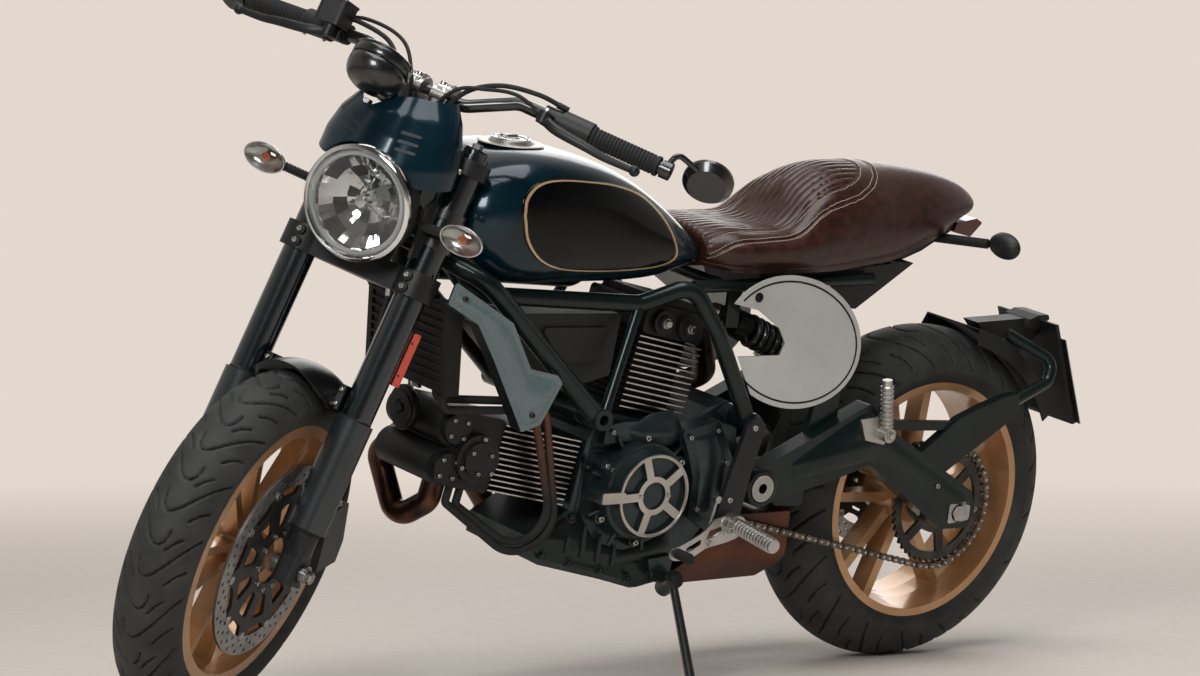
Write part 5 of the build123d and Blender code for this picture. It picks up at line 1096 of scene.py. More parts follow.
def chain_pin(step):
    """The pin this many pitches along the loop, from the top of the rear wrap."""
    run, wrap = centres * cos(lap) / CHAIN_PITCH, (pi - 2 * lap) / (2 * pi / FRONT_TEETH)
    high, low = pi / 2 + rise - lap, -pi / 2 + rise + lap
    rear = [spoke(REAR_SPROCKET, REAR_PR, a) for a in (high, low)]
    front = [spoke(FRONT_SPROCKET, FRONT_PR, a) for a in (high, low)]
    if step < run:
        return rear[0].lerp(front[0], step / run)
    if step < run + wrap:
        return spoke(FRONT_SPROCKET, FRONT_PR, high - (step - run) * 2 * pi / FRONT_TEETH)
    if step < 2 * run + wrap:
        return front[1].lerp(rear[1], (step - run - wrap) / run)
    return spoke(REAR_SPROCKET, REAR_PR, low - (step - 2 * run - wrap) * 2 * pi / REAR_TEETH)


pins = [chain_pin(i) for i in range(LINKS)]
print("sprocket centres", round(centres, 2), "mm")

# %% [markdown]
# A link is two figure-eight plates with a waist, and every second link is the wide one. Each pin
# goes through all four plates, with a roller round its middle.

# %% Chain links
PLATE_R, WAIST, PLATE_THICK = 6.4, 4.4, 1.7     # mm
OUTER_AT, INNER_AT = 6.6, 4.6                   # middle of the wide and narrow pairs' plates, mm
links = bmesh.new()
for i, (a, b) in enumerate(zip(pins, pins[1:] + pins[:1])):
    way, half = (b - a).normalized(), (b - a).length / 2
    fan = [radians(d) for d in (-70, -35, 0, 35, 70)]
    plate = [(-half - PLATE_R * cos(t), PLATE_R * sin(t)) for t in fan] + [(0, WAIST)]
    plate += [(half + PLATE_R * cos(t), PLATE_R * sin(t)) for t in reversed(fan)] + [(0, -WAIST)]
    for side in (-1, 1):
        at = side * (OUTER_AT if i % 2 else INNER_AT) - PLATE_THICK / 2
        sheet(links, [plate], (a + b) / 2 + LEFT * at, way, way.cross(LEFT), PLATE_THICK, i % 2)
    lathe(links, [(-4.4, 5.0), (4.4, 5.0)], a, LEFT, 12, 2)
    lathe(links, [(-8.4, 0), (-8.4, 2.4), (-7.9, 2.8), (7.9, 2.8), (8.4, 2.4), (8.4, 0)], a, LEFT, 10, 2)
piece_of("drive_chain_links", links, "chassis", "chain", ["chain_steel", "chain_outer", "bare_steel"],
         replaces=True)

# %% [markdown]
# The rear shock is a coil spring round a damper body. The coil is one wire that climbs as it goes
# round, so its path is a helix.

# %% Shock
SHOCK_TOP, SHOCK_LOW = Vector((532, 60, 672)), Vector((322, 60, 583))
COIL_FROM, COIL_RISE, COIL_TURNS, COIL_R, WIRE_R = 72, 110, 7, 24, 5.4     # mm, apart from the turns
COIL_STEPS = 14                                                            # points in a turn
length, strut_way = (SHOCK_LOW - SHOCK_TOP).length, (SHOCK_LOW - SHOCK_TOP).normalized()
spring = bmesh.new()
lathe(spring, [(14, 0), (14, 13), (30, 13), (32, 25), (62, 27), (66, 24), (66, 15), (186, 15), (188, 29),
               (194, 31), (198, 31), (200, 14), (length - 14, 12), (length - 14, 0)],
      SHOCK_TOP, strut_way, 36)
lathe(spring, [(200, 14), (202, 22), (213, 22), (215, 19), (226, 19), (228, 14)], SHOCK_TOP, strut_way, 36, 2)
side_way = strut_way.orthogonal().normalized()
other_way = strut_way.cross(side_way)
coil = []
for k in range(COIL_TURNS * COIL_STEPS + 1):
    a = 2 * pi * k / COIL_STEPS
    climb = COIL_FROM + COIL_RISE * k / (COIL_TURNS * COIL_STEPS)
    coil.append(SHOCK_TOP + strut_way * climb + (side_way * cos(a) + other_way * sin(a)) * COIL_R)
pipe(spring, coil, WIRE_R, steps=10, finish=1, samples=2)
for eye in (SHOCK_TOP, SHOCK_LOW):
    lathe(spring, [(-16, 7.4), (-16, 15), (-14, 17), (14, 17), (16, 15), (16, 7.4)], eye, LEFT, 28, finish=2)
piece_of("shock_with_coil", spring, "chassis", "shock", ["damper_black", "spring_paint", "bare_steel"],
         replaces=True)

# %% [markdown]
# The side plate is plain light enamel. A thin black line runs round it inside the edge, except
# where the plate is cut away, and a screw holds it at the top.

# %% Side plate line
PLATE_AT, PLATE_HALF, PLATE_TILT = (438, 641), (160, 115), radians(15.8)     # mm
PLATE_FACE, LINE_STEPS = 156.05, 180                                         # mm from the middle, count
NOTCH = ((700, 760), (626, 722), (523, 699), (474, 668), (456, 640), (464, 619), (700, 619))


def on_plate(turn, shrink):
    """A point of the plate's edge, drawn in by shrink millimetres."""
    u, v = (PLATE_HALF[0] - shrink) * cos(turn), (PLATE_HALF[1] - shrink) * sin(turn)
    return (PLATE_AT[0] + u * cos(PLATE_TILT) - v * sin(PLATE_TILT),
            PLATE_AT[1] + u * sin(PLATE_TILT) + v * cos(PLATE_TILT))


def in_notch(x, z, margin=7):
    """Whether a point lies in or near the cut-away corner of the plate."""
    wide = [(nx - margin if nx < 600 else nx + margin, nz + (margin if nz > 630 else -margin))
            for nx, nz in NOTCH]
    within = False
    for (ax, az), (bx, bz) in zip(wide, wide[1:] + wide[:1]):
        if (az > z) != (bz > z) and x < (bx - ax) * (z - az) / (bz - az) + ax:
            within = not within
    return within


for side, word in SIDES:
    line = bmesh.new()
    face_y = side * PLATE_FACE
    for k in range(LINE_STEPS):
        a, b = 2 * pi * k / LINE_STEPS, 2 * pi * (k + 1) / LINE_STEPS
        quad = [on_plate(a, 9), on_plate(b, 9), on_plate(b, 12.4), on_plate(a, 12.4)]
        if any(in_notch(*p) for p in quad):
            continue
        low, high = ([line.verts.new((x, face_y + side * lift, z)) for x, z in quad] for lift in (0, 0.35))
        line.faces.new(high)
        join_rows(line, (low, high))
    bmesh.ops.remove_doubles(line, verts=line.verts, dist=0.01)
    lathe(line, [(0, 8.5), (1.4, 8.5), (2.2, 7), (2.2, 3.2), (0.8, 3), (0.8, 0)], (528, face_y, 722),
          LEFT * side, 24)
    piece_of("side_plate_line_" + word, line, "chassis", "side_plates", ["black_gloss"], 30)

# %% [markdown]
# The alternator cover carries a machined ring with a raised bar across it. Both are thin pieces of
# brushed alloy on the painted cover.

# %% Alternator ornament
ornament, crank_face = bmesh.new(), Vector((CRANK.x, 160, CRANK.z))
for (near, far, half), y, thick, finish in (((66, 112, 11), 118, 41, 1), ((62, 110, 9.5), 159, 2.2, 0)):
    sheet(ornament, [rounded([(near, -half), (far, -half), (far, half), (near, half)], 3)],
          (CRANK.x, y, CRANK.z), AHEAD, -UP, thick, finish)
lathe(ornament, [(-3, 72.6), (1.2, 72.6), (1.6, 71.5), (1.6, 69.5), (0, 69)], crank_face, LEFT, 96)
for a in turns(2):
    cap_bolt(ornament, spoke(crank_face - LEFT * 0.2, 29, a), LEFT, 7)
lathe(ornament, [(-6, 0), (-6, 23.8), (-4.4, 23.8), (-4.4, 21), (-5, 0)], crank_face, LEFT, 48, 1)
piece_of("alternator_ornament", ornament, "chassis", "alternator_cover", ["brushed_alloy", "engine_grey"])

# %% [markdown]
# A machine is held together by screws, and bare castings look empty without them. Each group below
# sits on the flange or boss that it really clamps.

# %% Screws of the engine covers
screws = bmesh.new()
for hub, radius, count, start, axis, head in (
        ((CRANK.x, 120, CRANK.z), 92, 6, radians(30), LEFT, 11), ((640, -122, 372), 68, 10, 0.0, -LEFT, 8)):
    for a in turns(count, start):
        cap_bolt(screws, spoke(hub, radius, a), axis, head)
for y, places in ((134, ((536, 426), (563, 484), (622, 474), (589, 346), (544, 318))),
                  (112, ((690, 486), (774, 484), (722, 478)))):
    for x, z in places:
        cap_bolt(screws, (x, y, z), LEFT, 9)
piece_of("engine_cover_screws", screws, "chassis", "rear_axle", ["bare_steel"])

# %% [markdown]
# The two cylinders lean 90 degrees apart, so a screw's place is told along and across its own bore.

# %% Screws of the cylinder heads
def bore_point(tilt, along, y, across):
    """A point of a cylinder's own frame: along its bore from the crank, and across it."""
    a = radians(tilt)
    return Vector((CRANK.x + along * cos(a) - across * sin(a), y, CRANK.z + along * sin(a) + across * cos(a)))


FRONT_BORE, REAR_BORE = 12, 102     # degrees up from the way ahead
heads = bmesh.new()
for a in turns(3, pi / 2):
    for y, radius, lag, head in ((100, 36, 0, 8), (106, 22, 1, 7)):
        at = polar(radius, a + lag)
        cap_bolt(heads, bore_point(FRONT_BORE, 337 + at[0], y, -8 + at[1]), LEFT, head)
for across in (-34, 34):
    for a in turns(4, pi / 4):
        at = polar(19, a)
        cap_bolt(heads, bore_point(FRONT_BORE, 388 + at[0], 92, across + at[1]), LEFT, 7)
for across in (-30, 26):
    hex_bolt(heads, bore_point(REAR_BORE, 285, 99, across), LEFT, 13)
piece_of("cylinder_head_screws", heads, "chassis", "rear_axle", ["bare_steel"])

# %% [markdown]
# Cross screws close the lower yoke round the fork tubes, a cap closes each tube at its top, and a
# nut stands at each end of the front axle. At the back, long screws pull the rear wheel away from
# the engine until the chain is tight.

# %% Screws of the yokes and chain adjusters
yokes = bmesh.new()
for ahead in (8, 52):
    for left in (22, -22):
        cap_bolt(yokes, at_fork(ahead, left, 806.5), up_fork, 10)
for side in (-1, 1):
    lathe(yokes, [(0, 20), (4, 19), (5, 15), (5, 0)], at_fork(12, side * 105, 731), up_fork, 32, 1)
    lathe(yokes, [(5, 9.5), (12, 9.5), (13, 8), (13, 0)], at_fork(12, side * 105, 731), up_fork, 6, 1)
    for along in (485, 505):
        cap_bolt(yokes, at_fork(54, side * 101, along), AHEAD_FORK, 9)
    hex_bolt(yokes, at_fork(0, 133 if side > 0 else -128.5, 0), LEFT * side, 20)
piece_of("yoke_screws", yokes, "steering", "front_axle", ["bare_steel", "black_metal"])

rear_ends = bmesh.new()
for side in (-1, 1):
    y = side * 162.3
    plate = rounded([(-27, -14), (24, -19), (24, 19), (-27, 14)], 6)
    sheet(rear_ends, [plate, ring_loop(16.5, 32)], (0, y, REAR_R), AHEAD, UP, -4.5 * side)
    bar(rear_ends, (-44, side * 144, REAR_R), (-64, side * 144, REAR_R), 4, 12)
    lathe(rear_ends, [(0, 8), (6, 8), (7, 7), (7, 0)], (-52, side * 144, REAR_R), -AHEAD, 6)
    for x, z in ((60, 388), (-10, 352)):
        cap_bolt(rear_ends, (x, side * 162, z - 20), LEFT * side, 9)
piece_of("chain_adjusters", rear_ends, "chassis", "rear_axle", ["bare_steel"])

# %% [markdown]
# At the bars, the eye looks for ribbed grips and small switch buttons. A grip is one turned rubber
# sleeve, and each button stands square to the bar.

# %% Grips and switches
BAR_KNEE, BAR_END = Vector((12, 140, 830)), Vector((-25, 392, 824))
GRIP_START, BAR_TIP = 268.0, 392.0     # mm from the middle
# Along the bar, ahead of it and above it, then radius and finish.
BUTTONS = ((242, -17, 14, 5.5, 0), (254, -19, 3, 4.5, 2), (232, -20, -6, 4.5, 0), (224, -13, 15, 3.5, 1))


def bar_point(y, side=1, ahead=0.0, rise=0.0):
    """A point on the straight outer stretch of the handlebar, moved ahead and up the fork."""
    at = BAR_KNEE.lerp(BAR_END, (y - BAR_KNEE.y) / (BAR_END.y - BAR_KNEE.y))
    return at_fork(at.x + ahead, side * y, at.z + rise)


for side, word in SIDES:
    grip = bmesh.new()
    start, stop = bar_point(269, side), bar_point(389, side)
    profile = [(0, 11.2), (0, 17.5), (2.5, 18.2), (5, 17.5), (6, 15)]
    profile += ribs(17, 6, 14.9, 16.3, (8, 9, 12.4, 13.4))
    profile += [(112, 15.2), (114, 16.8), (119, 16.8), (120, 15), (120, 11.2)]
    lathe(grip, profile, start, stop - start, 40)
    piece_of("ribbed_grip_" + word, grip, "steering", "grips", ["black_rubber"], 30, replaces=side > 0)
    buttons = bmesh.new()
    for y, ahead, rise, r, finish in BUTTONS:
        at = bar_point(y, side, ahead, rise)
        out = (at - bar_point(y, side)).normalized()
        lathe(buttons, [(-3, r + 1.6), (0, r + 1.6), (0, r), (3.4, r), (4.2, r - 1), (4.2, 0)], at, out, 20,
              finish)
    for y in (222, 262):
        cap_bolt(buttons, bar_point(y, side, 6, -20.4), -up_fork, 6, 1)
    piece_of("switch_buttons_" + word, buttons, "steering", "bar_controls",
             ["button_grey", "bare_steel", "button_red"])

lid = bmesh.new()
tank_mid = bar_point(208, -1, 34, 42)
box = rounded([(-28, -26), (28, -26), (28, 26), (-28, 26)], 10)
sheet(lid, [box], tank_mid, AHEAD_FORK, LEFT, 4.0)
for ahead, left in ((-19, -17), (19, 17)):
    cap_bolt(lid, tank_mid + AHEAD_FORK * ahead + LEFT * left + up_fork * 4, up_fork, 6, 1)
piece_of("fluid_tank_lid", lid, "steering", "bar_controls", ["black_plastic", "bare_steel"])

# %% [markdown]
# Each cable leaves the control block, bows forward and ends in the headlight shell. The first two
# points are beside the bar and the next three in the fork's frame, as the photograph shows them.

# %% Cables
LEAD_START = ((214, 4, 22), (168, 16, 24))
LEFT_LEAD = ((34, 104, 842), (52, 60, 806), (42, 30, 742))
RIGHT_LEAD = ((34, -104, 842), (52, -64, 806), (42, -34, 742))
# Name, side, radius, points beside the bar, points in the fork's frame, and Y at the shell.
CABLES = (
    ("clutch_cable", 1, 3.2, ((200, 46, -6), (150, 52, 6)),
     ((58, 96, 826), (66, 52, 806), (58, 22, 752)), 10),
    ("left_switch_lead", 1, 4.0, LEAD_START, LEFT_LEAD, 16),
    ("right_switch_lead", -1, 4.0, LEAD_START, RIGHT_LEAD, -16),
    ("throttle_cable", -1, 3.2, ((222, -4, 20), (170, 2, 34)),
     ((30, -100, 858), (62, -48, 830), (60, -14, 760)), -4),
)
for name, side, radius, starts, mids, y_end in CABLES:
    cable = bmesh.new()
    route = [bar_point(y, side, ahead, rise) for y, ahead, rise in starts]
    route += [at_fork(*p) for p in mids]
    route += [Vector((1204, y_end, 930)), Vector((1226, y_end * 0.7, 892))]
    pipe(cable, route, radius, 12, samples=12)
    pipe(cable, [route[0] - (route[1] - route[0]) * 0.1, route[0], route[0].lerp(route[1], 0.3)],
         radius + 1.6, 14, finish=1, samples=4)
    piece_of(name, cable, "steering", "bar_controls", ["black_rubber", "black_cast"])

# %% [markdown]
# The brake hose climbs behind the leg from the caliper to the lower yoke. A crimped steel sleeve
# ends it at both ends.

# %% Front brake hose
BRAKE_HOSE = [Vector(p) for p in ((1290, 88, 362), (1280, 94, 400), (1292, 86, 480), (1306, 81, 560),
                                  (1284, 70, 655))]
BRAKE_HOSE += [at_fork(-8, 60, 466), at_fork(-4, 58, 478)]
hose = bmesh.new()
pipe(hose, BRAKE_HOSE, 3.4, 12, samples=10)
for k, way in ((0, 1), (-1, -1)):
    step = (BRAKE_HOSE[k + way] - BRAKE_HOSE[k]).normalized()
    lathe(hose, [(-2, 0), (-2, 5.4), (14, 5.4), (15, 4.4), (20, 4.2), (20, 0)], BRAKE_HOSE[k], step, 6, 1)
lathe(hose, [(-7, 0), (-7, 7), (7, 7), (7, 0)], BRAKE_HOSE[0] - UP * 4, LEFT, 20, 1)
piece_of("front_brake_hose", hose, "steering", "front_caliper", ["black_rubber", "bare_steel"])

# %% [markdown]
# The instrument is a cup with a printed face under glass: a ring of ticks and one needle, which is
# how any plain speedometer is laid out.

# %% Instrument
DIAL_AT, DIAL_WAY = Vector((1268, -52, 1096)), Vector((-0.62, 0, 0.78)).normalized()
DIAL_UP = LEFT.cross(DIAL_WAY).normalized()
TICKS, TICK_SWEEP, TICK_FROM, NEEDLE_AT = 40, 250, -35, 2.9     # count, degrees, degrees, radians
cup = bmesh.new()
lathe(cup, [(0, 44), (0, 49.2), (-1.5, 50), (-13.5, 50), (-15, 49), (-15.4, 46.5), (-18.2, 46.5),
            (-18.8, 48.6), (-20, 49.4), (-30, 49), (-38, 46.8), (-45, 43), (-51, 37), (-55.5, 29),
            (-58, 19), (-59, 0)], DIAL_AT, DIAL_WAY, 72)
pipe(cup, [(1262, -52, 1082), (1243, -52, 1030), at_fork(26, -52, 762), at_fork(26, -52, 714.3)], 7, 16)
piece_of("instrument_cup", cup, "steering", "instrument", ["black_metal"], 40, replaces=True)
dial = bmesh.new()
lathe(dial, [(0, 50), (3.5, 50.4), (5, 48.5), (5, 45), (0.6, 43.5)], DIAL_AT, DIAL_WAY, 72)
lathe(dial, [(0.6, 43.6), (0.7, 0)], DIAL_AT, DIAL_WAY, 72, 1)
for k in range(TICKS + 1):
    a = radians(TICK_FROM + TICK_SWEEP * k / TICKS)
    out = LEFT * cos(a) + DIAL_UP * sin(a)
    start, width = (34, 0.8) if k % 5 == 0 else (37.5, 0.45)
    bar(dial, DIAL_AT + DIAL_WAY * 0.9 + out * start, DIAL_AT + DIAL_WAY * 0.9 + out * 41, width, 6, 2)
needle = LEFT * cos(NEEDLE_AT) + DIAL_UP * sin(NEEDLE_AT)
bar(dial, DIAL_AT + DIAL_WAY * 2 - needle * 8, DIAL_AT + DIAL_WAY * 2 + needle * 33, 0.9, 8, 3)
lathe(dial, [(0.7, 5), (3, 5), (3.6, 4), (3.6, 0)], DIAL_AT, DIAL_WAY, 24, 1)
piece_of("instrument_face", dial, "steering", "instrument",
         ["black_metal", "dial_black", "dial_white", "needle_red"])
cover = bmesh.new()
for profile in ([(4.0, 46), (4.6, 30), (4.9, 0)], [(3.4, 46), (4.0, 30), (4.2, 0)], [(3.4, 46), (4.0, 46)]):
    lathe(cover, profile, DIAL_AT, DIAL_WAY, 60)
bmesh.ops.remove_doubles(cover, verts=cover.verts, dist=0.001)
piece_of("instrument_glass", cover, "steering", "headlight_lens", ["clear_lens"])

# %% [markdown]
# A horn hangs below the oil cooler, a red reflector stands on each fork leg and faces sideways, and
# the oil hoses change from copper brown to black, as on the machine.

# %% Horn, reflectors and hoses
horn = bmesh.new()
HORN = Vector((1114, 0, 512))
lathe(horn, [(0, 0), (0, 22), (5, 35), (10, 38), (17, 38), (19, 36), (19, 30), (22, 28), (22, 14), (19, 12),
             (19, 8), (23, 7), (23, 0)], HORN, AHEAD, 56)
bar(horn, HORN + Vector((4, 0, 30)), HORN + Vector((6, 0, 52)), 5, 12, 1)
piece_of("horn", horn, "chassis", "airbox", ["damper_black", "bare_steel"])
for side, word in SIDES:
    strip = bmesh.new()
    for size, left, thick, finish in ((8.5, 133, 1.6, 1), (7, 134.2, 3.0, 0)):
        sheet(strip, [rounded([(-size, -46), (size, -46), (size, 46), (-size, 46)], 4)],
              at_fork(-8, side * left, 380), AHEAD_FORK * (-side * cos(0.65)) + LEFT * sin(0.65), up_fork,
              thick, finish)
    for along in (352, 408):
        bar(strip, at_fork(4, side * 122, along), at_fork(-8, side * 134, along), 4, 12, 1)
    piece_of("side_reflector_" + word, strip, "steering", "tail_light",
             ["red_reflector", "black_plastic"])

repainted("oil_hoses_two_tone", "oil_hoses", "chassis", ["black_rubber", "hose_copper"],
          lambda at, way: int(at.z > 452 and at.x < 975))

# %% [markdown]
# Ribbed rubber and cast teeth give the foot pegs their bite. They are turned here with the same
# lathe, because a peg is a bar with rings cut into it.

# %% Pegs
pegs = bmesh.new()
for side in (-1, 1):
    start, stop = Vector((547, side * 200, 330.5)), Vector((547, side * 302, 322))
    tread = ribs(12, 8, 12.4, 14.2, (3, 4, 7, 8))
    lathe(pegs, [(0, 0), (0, 12.4)] + tread + [(101.6, 12.4), (101.8, 0)], start, stop - start, 12)
    toe_a, toe_b = Vector((664, side * 190, 286)), Vector((664, side * 228, 286))
    tread = ribs(8, 4.4, 8.2, 9.4, (1, 2, 4, 4.8))
    lathe(pegs, [(0, 0), (0, 8.2)] + tread + [(38.6, 8.2), (39, 0)], toe_a, toe_b - toe_a, 24, 1)
    low, high = Vector((216, side * 180, 486)), Vector((230, side * 180, 574))
    tread = ribs(10, 8, 9.2, 12.2, (1, 2.5, 5, 7))
    lathe(pegs, [(0, 0), (0, 9.2)] + tread + [(86, 9.2), (89, 7), (89, 0)], low, high - low, 10)
    hex_bolt(pegs, (214, side * 190, 474), LEFT * side, 12)
    cap_bolt(pegs, (560, side * 194, 322), LEFT * side, 11)
    for x, z in ((520, 498), (556, 372)):
        cap_bolt(pegs, (x, side * 178, z), LEFT * side, 10)
piece_of("peg_teeth", pegs, "chassis", "foot_controls", ["bare_alloy", "black_rubber"])

# %% [markdown]
# The fuel cap is a flush chrome ring with seven screws and a bar to turn it by, in a brushed seat.

# %% Fuel cap
cap = bmesh.new()
CAP = Vector((973, 0, 957))
lathe(cap, [(6.8, 33), (9, 33), (9.6, 31.5), (9.6, 26), (8, 25), (8, 15)], CAP, UP, 56)
for a in turns(7, 0.2):
    cap_bolt(cap, CAP + Vector((*polar(29.5, a), 9)), UP, 4.5)
bar(cap, CAP + Vector((-12, 0, 11)), CAP + Vector((12, 0, 11)), 3.2, 10)
lathe(cap, [(0, 0), (0, 56), (1.2, 56.6), (2.2, 55), (2.2, 40), (1, 38)], CAP + UP * -0.5, UP, 72, 1)
piece_of("fuel_cap_ring", cap, "chassis", "fuel_cap", ["chrome", "brushed_alloy"])

# %% [markdown]
# The nose cowl is one moulded shell that starts on the headlight's round and closes towards the
# instrument. It is drawn as a grid: its lower edge rides on the lamp's circle, its upper edge dips
# round the instrument, and rows between them follow arcs whose width and nose come from a table.

# %% Nose cowl
# Each row of the cowl: Z, nose X, half width and edge X, all in mm.
COWL_ROWS = np.array([(930, 1352, 119, 1258), (965, 1343, 117, 1250), (1000, 1322, 108, 1239),
                      (1030, 1296, 90, 1221), (1058, 1266, 64, 1202)], float)
COWL_HIGH, COWL_WIDE, COWL_THICK = 24, 80, 3.0      # faces up, faces across, mm
LAMP_CIRCLE, COWL_LOW, COWL_TOP = 99.6, 934.0, 1057     # mm


def cowl_point(u, z):
    """A point of the cowl at a height: u runs from -1 at the right edge to 1 at the left."""
    nose, half, edge = (float(np.interp(z, COWL_ROWS[:, 0], COWL_ROWS[:, k])) for k in (1, 2, 3))
    turn = u * pi / 2
    spine = 4.0 * exp(-(u / 0.2) ** 6)
    return Vector((edge + (nose - edge) * cos(turn) ** 0.9 + spine, half * sin(turn), z))


def cowl_edges(u, y):
    """Heights of the lower edge, on the lamp's circle, and of the upper, dipped at the instrument."""
    low = max(COWL_LOW, LAMP.z + sqrt(LAMP_CIRCLE ** 2 - min(abs(y), 99.0) ** 2))
    high = COWL_TOP - 34 * np.exp(-((y + 52) / 36) ** 2) - 10 * max(0.0, abs(u) - 0.8)
    return low, high


def off_centre(face):
    """How far a face is from the middle of the cowl's front."""
    middle = face.calc_center_median()
    return abs(middle.y) + abs(middle.z - 1000)


cowl = bmesh.new()
grid = []
for k in range(COWL_HIGH + 1):
    row = []
    for m in range(COWL_WIDE + 1):
        u, z = -1 + 2 * m / COWL_WIDE, 960.0
        # The edges depend on Y, and Y on the height between the edges: six rounds settle it.
        for _ in range(6):
            low, high = cowl_edges(u, cowl_point(u, z).y)
            z = low + (high - low) * k / COWL_HIGH
        row.append(cowl.verts.new(cowl_point(u, z)))
    grid.append(row)
join_rows(cowl, grid, closed=False)
bmesh.ops.recalc_face_normals(cowl, faces=cowl.faces)
centre_face = min(cowl.faces, key=off_centre)
inward = COWL_THICK if centre_face.normal.x > 0 else -COWL_THICK
bmesh.ops.solidify(cowl, geom=cowl.faces[:], thickness=inward)
for side in (-1, 1):
    cap_bolt(cowl, (1240, side * 112, 962), LEFT * side, 9, 1)
for k in range(3):
    at = cowl_point(0.3, 984 + 12 * k) - Vector((0.4, 0, 0))
    across = (cowl_point(0.32, at.z) - cowl_point(0.28, at.z)).normalized()
    up = (cowl_point(0.3, at.z + 3) - cowl_point(0.3, at.z - 3)).normalized()
    slot = rounded([(-17, -2.6), (17, -2.6), (17, 2.6), (-17, 2.6)], 2.5, 3)
    for mirror in (1, -1):
        flip = Vector((1, mirror, 1))
        sheet(cowl, [slot], at * flip, across * flip, up * flip, 1.2 * mirror, 2)
piece_of("nose_cowl_shell", cowl, "steering", "nose_cowl", ["body_teal", "bare_steel", "black_plastic"], 50,
         replaces=True)

# %% [markdown]
# The bar is held by two tall silver towers, each with its own cap and a pair of screws. A tower is
# two sheets: one with the full outline, and a wider one drawn in a little, which bevels the edges.

# %% Bar towers
def drawn_in(outline, by):
    """An outline moved inwards by a distance, corner by corner, whichever way round it runs."""
    area = sum(a[0] * b[1] - b[0] * a[1] for _, a, b in neighbours(outline))
    turn = 1 if area > 0 else -1
    loop = []
    for before, here, after in neighbours(outline):
        here = Vector(here)
        a, b = (here - Vector(before)).normalized(), (Vector(after) - here).normalized()
        n1, n2 = Vector((-a.y, a.x)) * turn, Vector((-b.y, b.x)) * turn
        mid = (n1 + n2).normalized()
        loop.append(tuple(here + mid * (by / max(0.5, mid.dot(n1)))))
    return loop


TOWER = ((-2, 738), (52, 738), (60, 789), (0, 789))
TOWER_CAP = ((0, 791.5), (60, 791.5), (58, 806), (44, 815), (16, 815), (2, 806))
towers = bmesh.new()
for middle in (28, -28):
    for inset, half in ((0.0, 10.5), (1.6, 12.5)):
        for block in (TOWER, TOWER_CAP):
            sheet(towers, [rounded(drawn_in(block, inset), 5, 4)], at_fork(0, middle + half, 0), AHEAD_FORK,
                  up_fork, half * 2)
    for ahead in (9, 51):
        bar(towers, at_fork(ahead, middle, 786), at_fork(ahead, middle, 803), 8.5, 20)
        cap_bolt(towers, at_fork(ahead, middle, 803), up_fork, 10, 1)
piece_of("bar_towers", towers, "steering", "bar_clamp", ["bare_alloy", "bare_steel"], 40)

# %% [markdown]
# The cast swingarm has a raised rim round its outside. A thin raised panel with rounded corners
# gives that rim, where flat CAD sides would look like cut plate.

# %% Swingarm panels
LEG = ((300, 500), (243, 527), (199, 484), (-30, 353), (-44, 318), (-30, 284), (37, 286), (225, 414),
       (310, 400), (410, 384), (424, 428))


def raised_panel(shape, outline, y, side, inset, rise, corner, finish=0):
    """A low plateau on a side face: its edge slopes in, so it reads as cast."""
    base, crown = (rounded(drawn_in(outline, by), corner) for by in (inset, inset + rise))
    low = [shape.verts.new((x, y, z)) for x, z in base]
    high = [shape.verts.new((x, y + side * rise, z)) for x, z in crown]
    join_rows(shape, (low, high), finish=finish)
    for tri in tessellate_polygon([[Vector((x, z, 0)) for x, z in crown]]):
        shape.faces.new([high[k] for k in tri]).material_index = finish


panels = bmesh.new()
for side in (-1, 1):
    raised_panel(panels, LEG, side * 162, side, 9, 2.4, 14)
    lathe(panels, [(0, 33), (2.5, 33), (4, 31), (4, 26), (1, 25)], (472, side * 162, 384), LEFT * side, 56)
piece_of("swingarm_panels", panels, "chassis", "swingarm", ["frame_grey"], 50)

# %% [markdown]
# The cases carry low forms: the field of the sprocket cover, the starter's lump, ribs, and a
# screwed panel on each side of the sump. Without them a cast side looks like a plain block. The
# sump panels, with their bosses and ribs, take the dark frame enamel as painted shade under the engine.

# %% Engine cover forms
SPROCKET_COVER = ((524, 316), (520, 430), (560, 500), (640, 484), (620, 444), (604, 400), (604, 330),
                  (565, 306))
STARTER = ((612, 470), (650, 520), (700, 512), (742, 486), (718, 452), (672, 444))
covers = bmesh.new()
raised_panel(covers, SPROCKET_COVER, 134, 1, 16, 3.0, 12)
raised_panel(covers, STARTER, 112, 1, 0, 14.0, 8)
lathe(covers, [(0, 84), (5, 83), (8, 79), (8, 75), (3, 74)], (CRANK.x, 128, CRANK.z), LEFT, 80)
for a in turns(9, radians(20)):
    out = Vector((cos(a), 0, sin(a)))
    rib = [(-3.5, -14), (3.5, -14), (2.2, 14), (-2.2, 14)]
    sheet(covers, [rib], Vector((CRANK.x, 116, CRANK.z)) + out * 96, LEFT, out, 5.0)
SUMP = ((812, 452), (820, 346), (894, 303), (896, 270), (876, 259), (744, 225), (678, 205), (628, 214),
        (588, 252), (604, 318), (640, 286), (705, 268), (768, 288), (806, 340))
SUMP_SCREWS = ((640, 222), (690, 217), (752, 236), (820, 253), (880, 270), (884, 297), (826, 330), (806, 420))
# The sump panels, bosses and ribs are dark frame enamel: painted shade on the engine's belly.
for side in (-1, 1):
    raised_panel(covers, SUMP, 92, side, 2, 4.5, 9, 2)
    for x, z in SUMP_SCREWS:
        lathe(covers, [(0, 9.5), (6.5, 8), (6.5, 5), (6.0, 0)], (x, side * 92, z), LEFT * side, 24, 2)
        cap_bolt(covers, (x, side * 98, z), LEFT * side, 9, 1)
    for k in range(4):
        x = 728 + 34 * k
        low, high = 240 + 9.2 * k, (278, 300, 318, 300)[k]
        rib = [(-5, low), (5, low + 2.5), (3, high), (-3, high)]
        sheet(covers, [rib], (x, side * 96.2, 0), AHEAD, UP, -side * 4.0, 2)
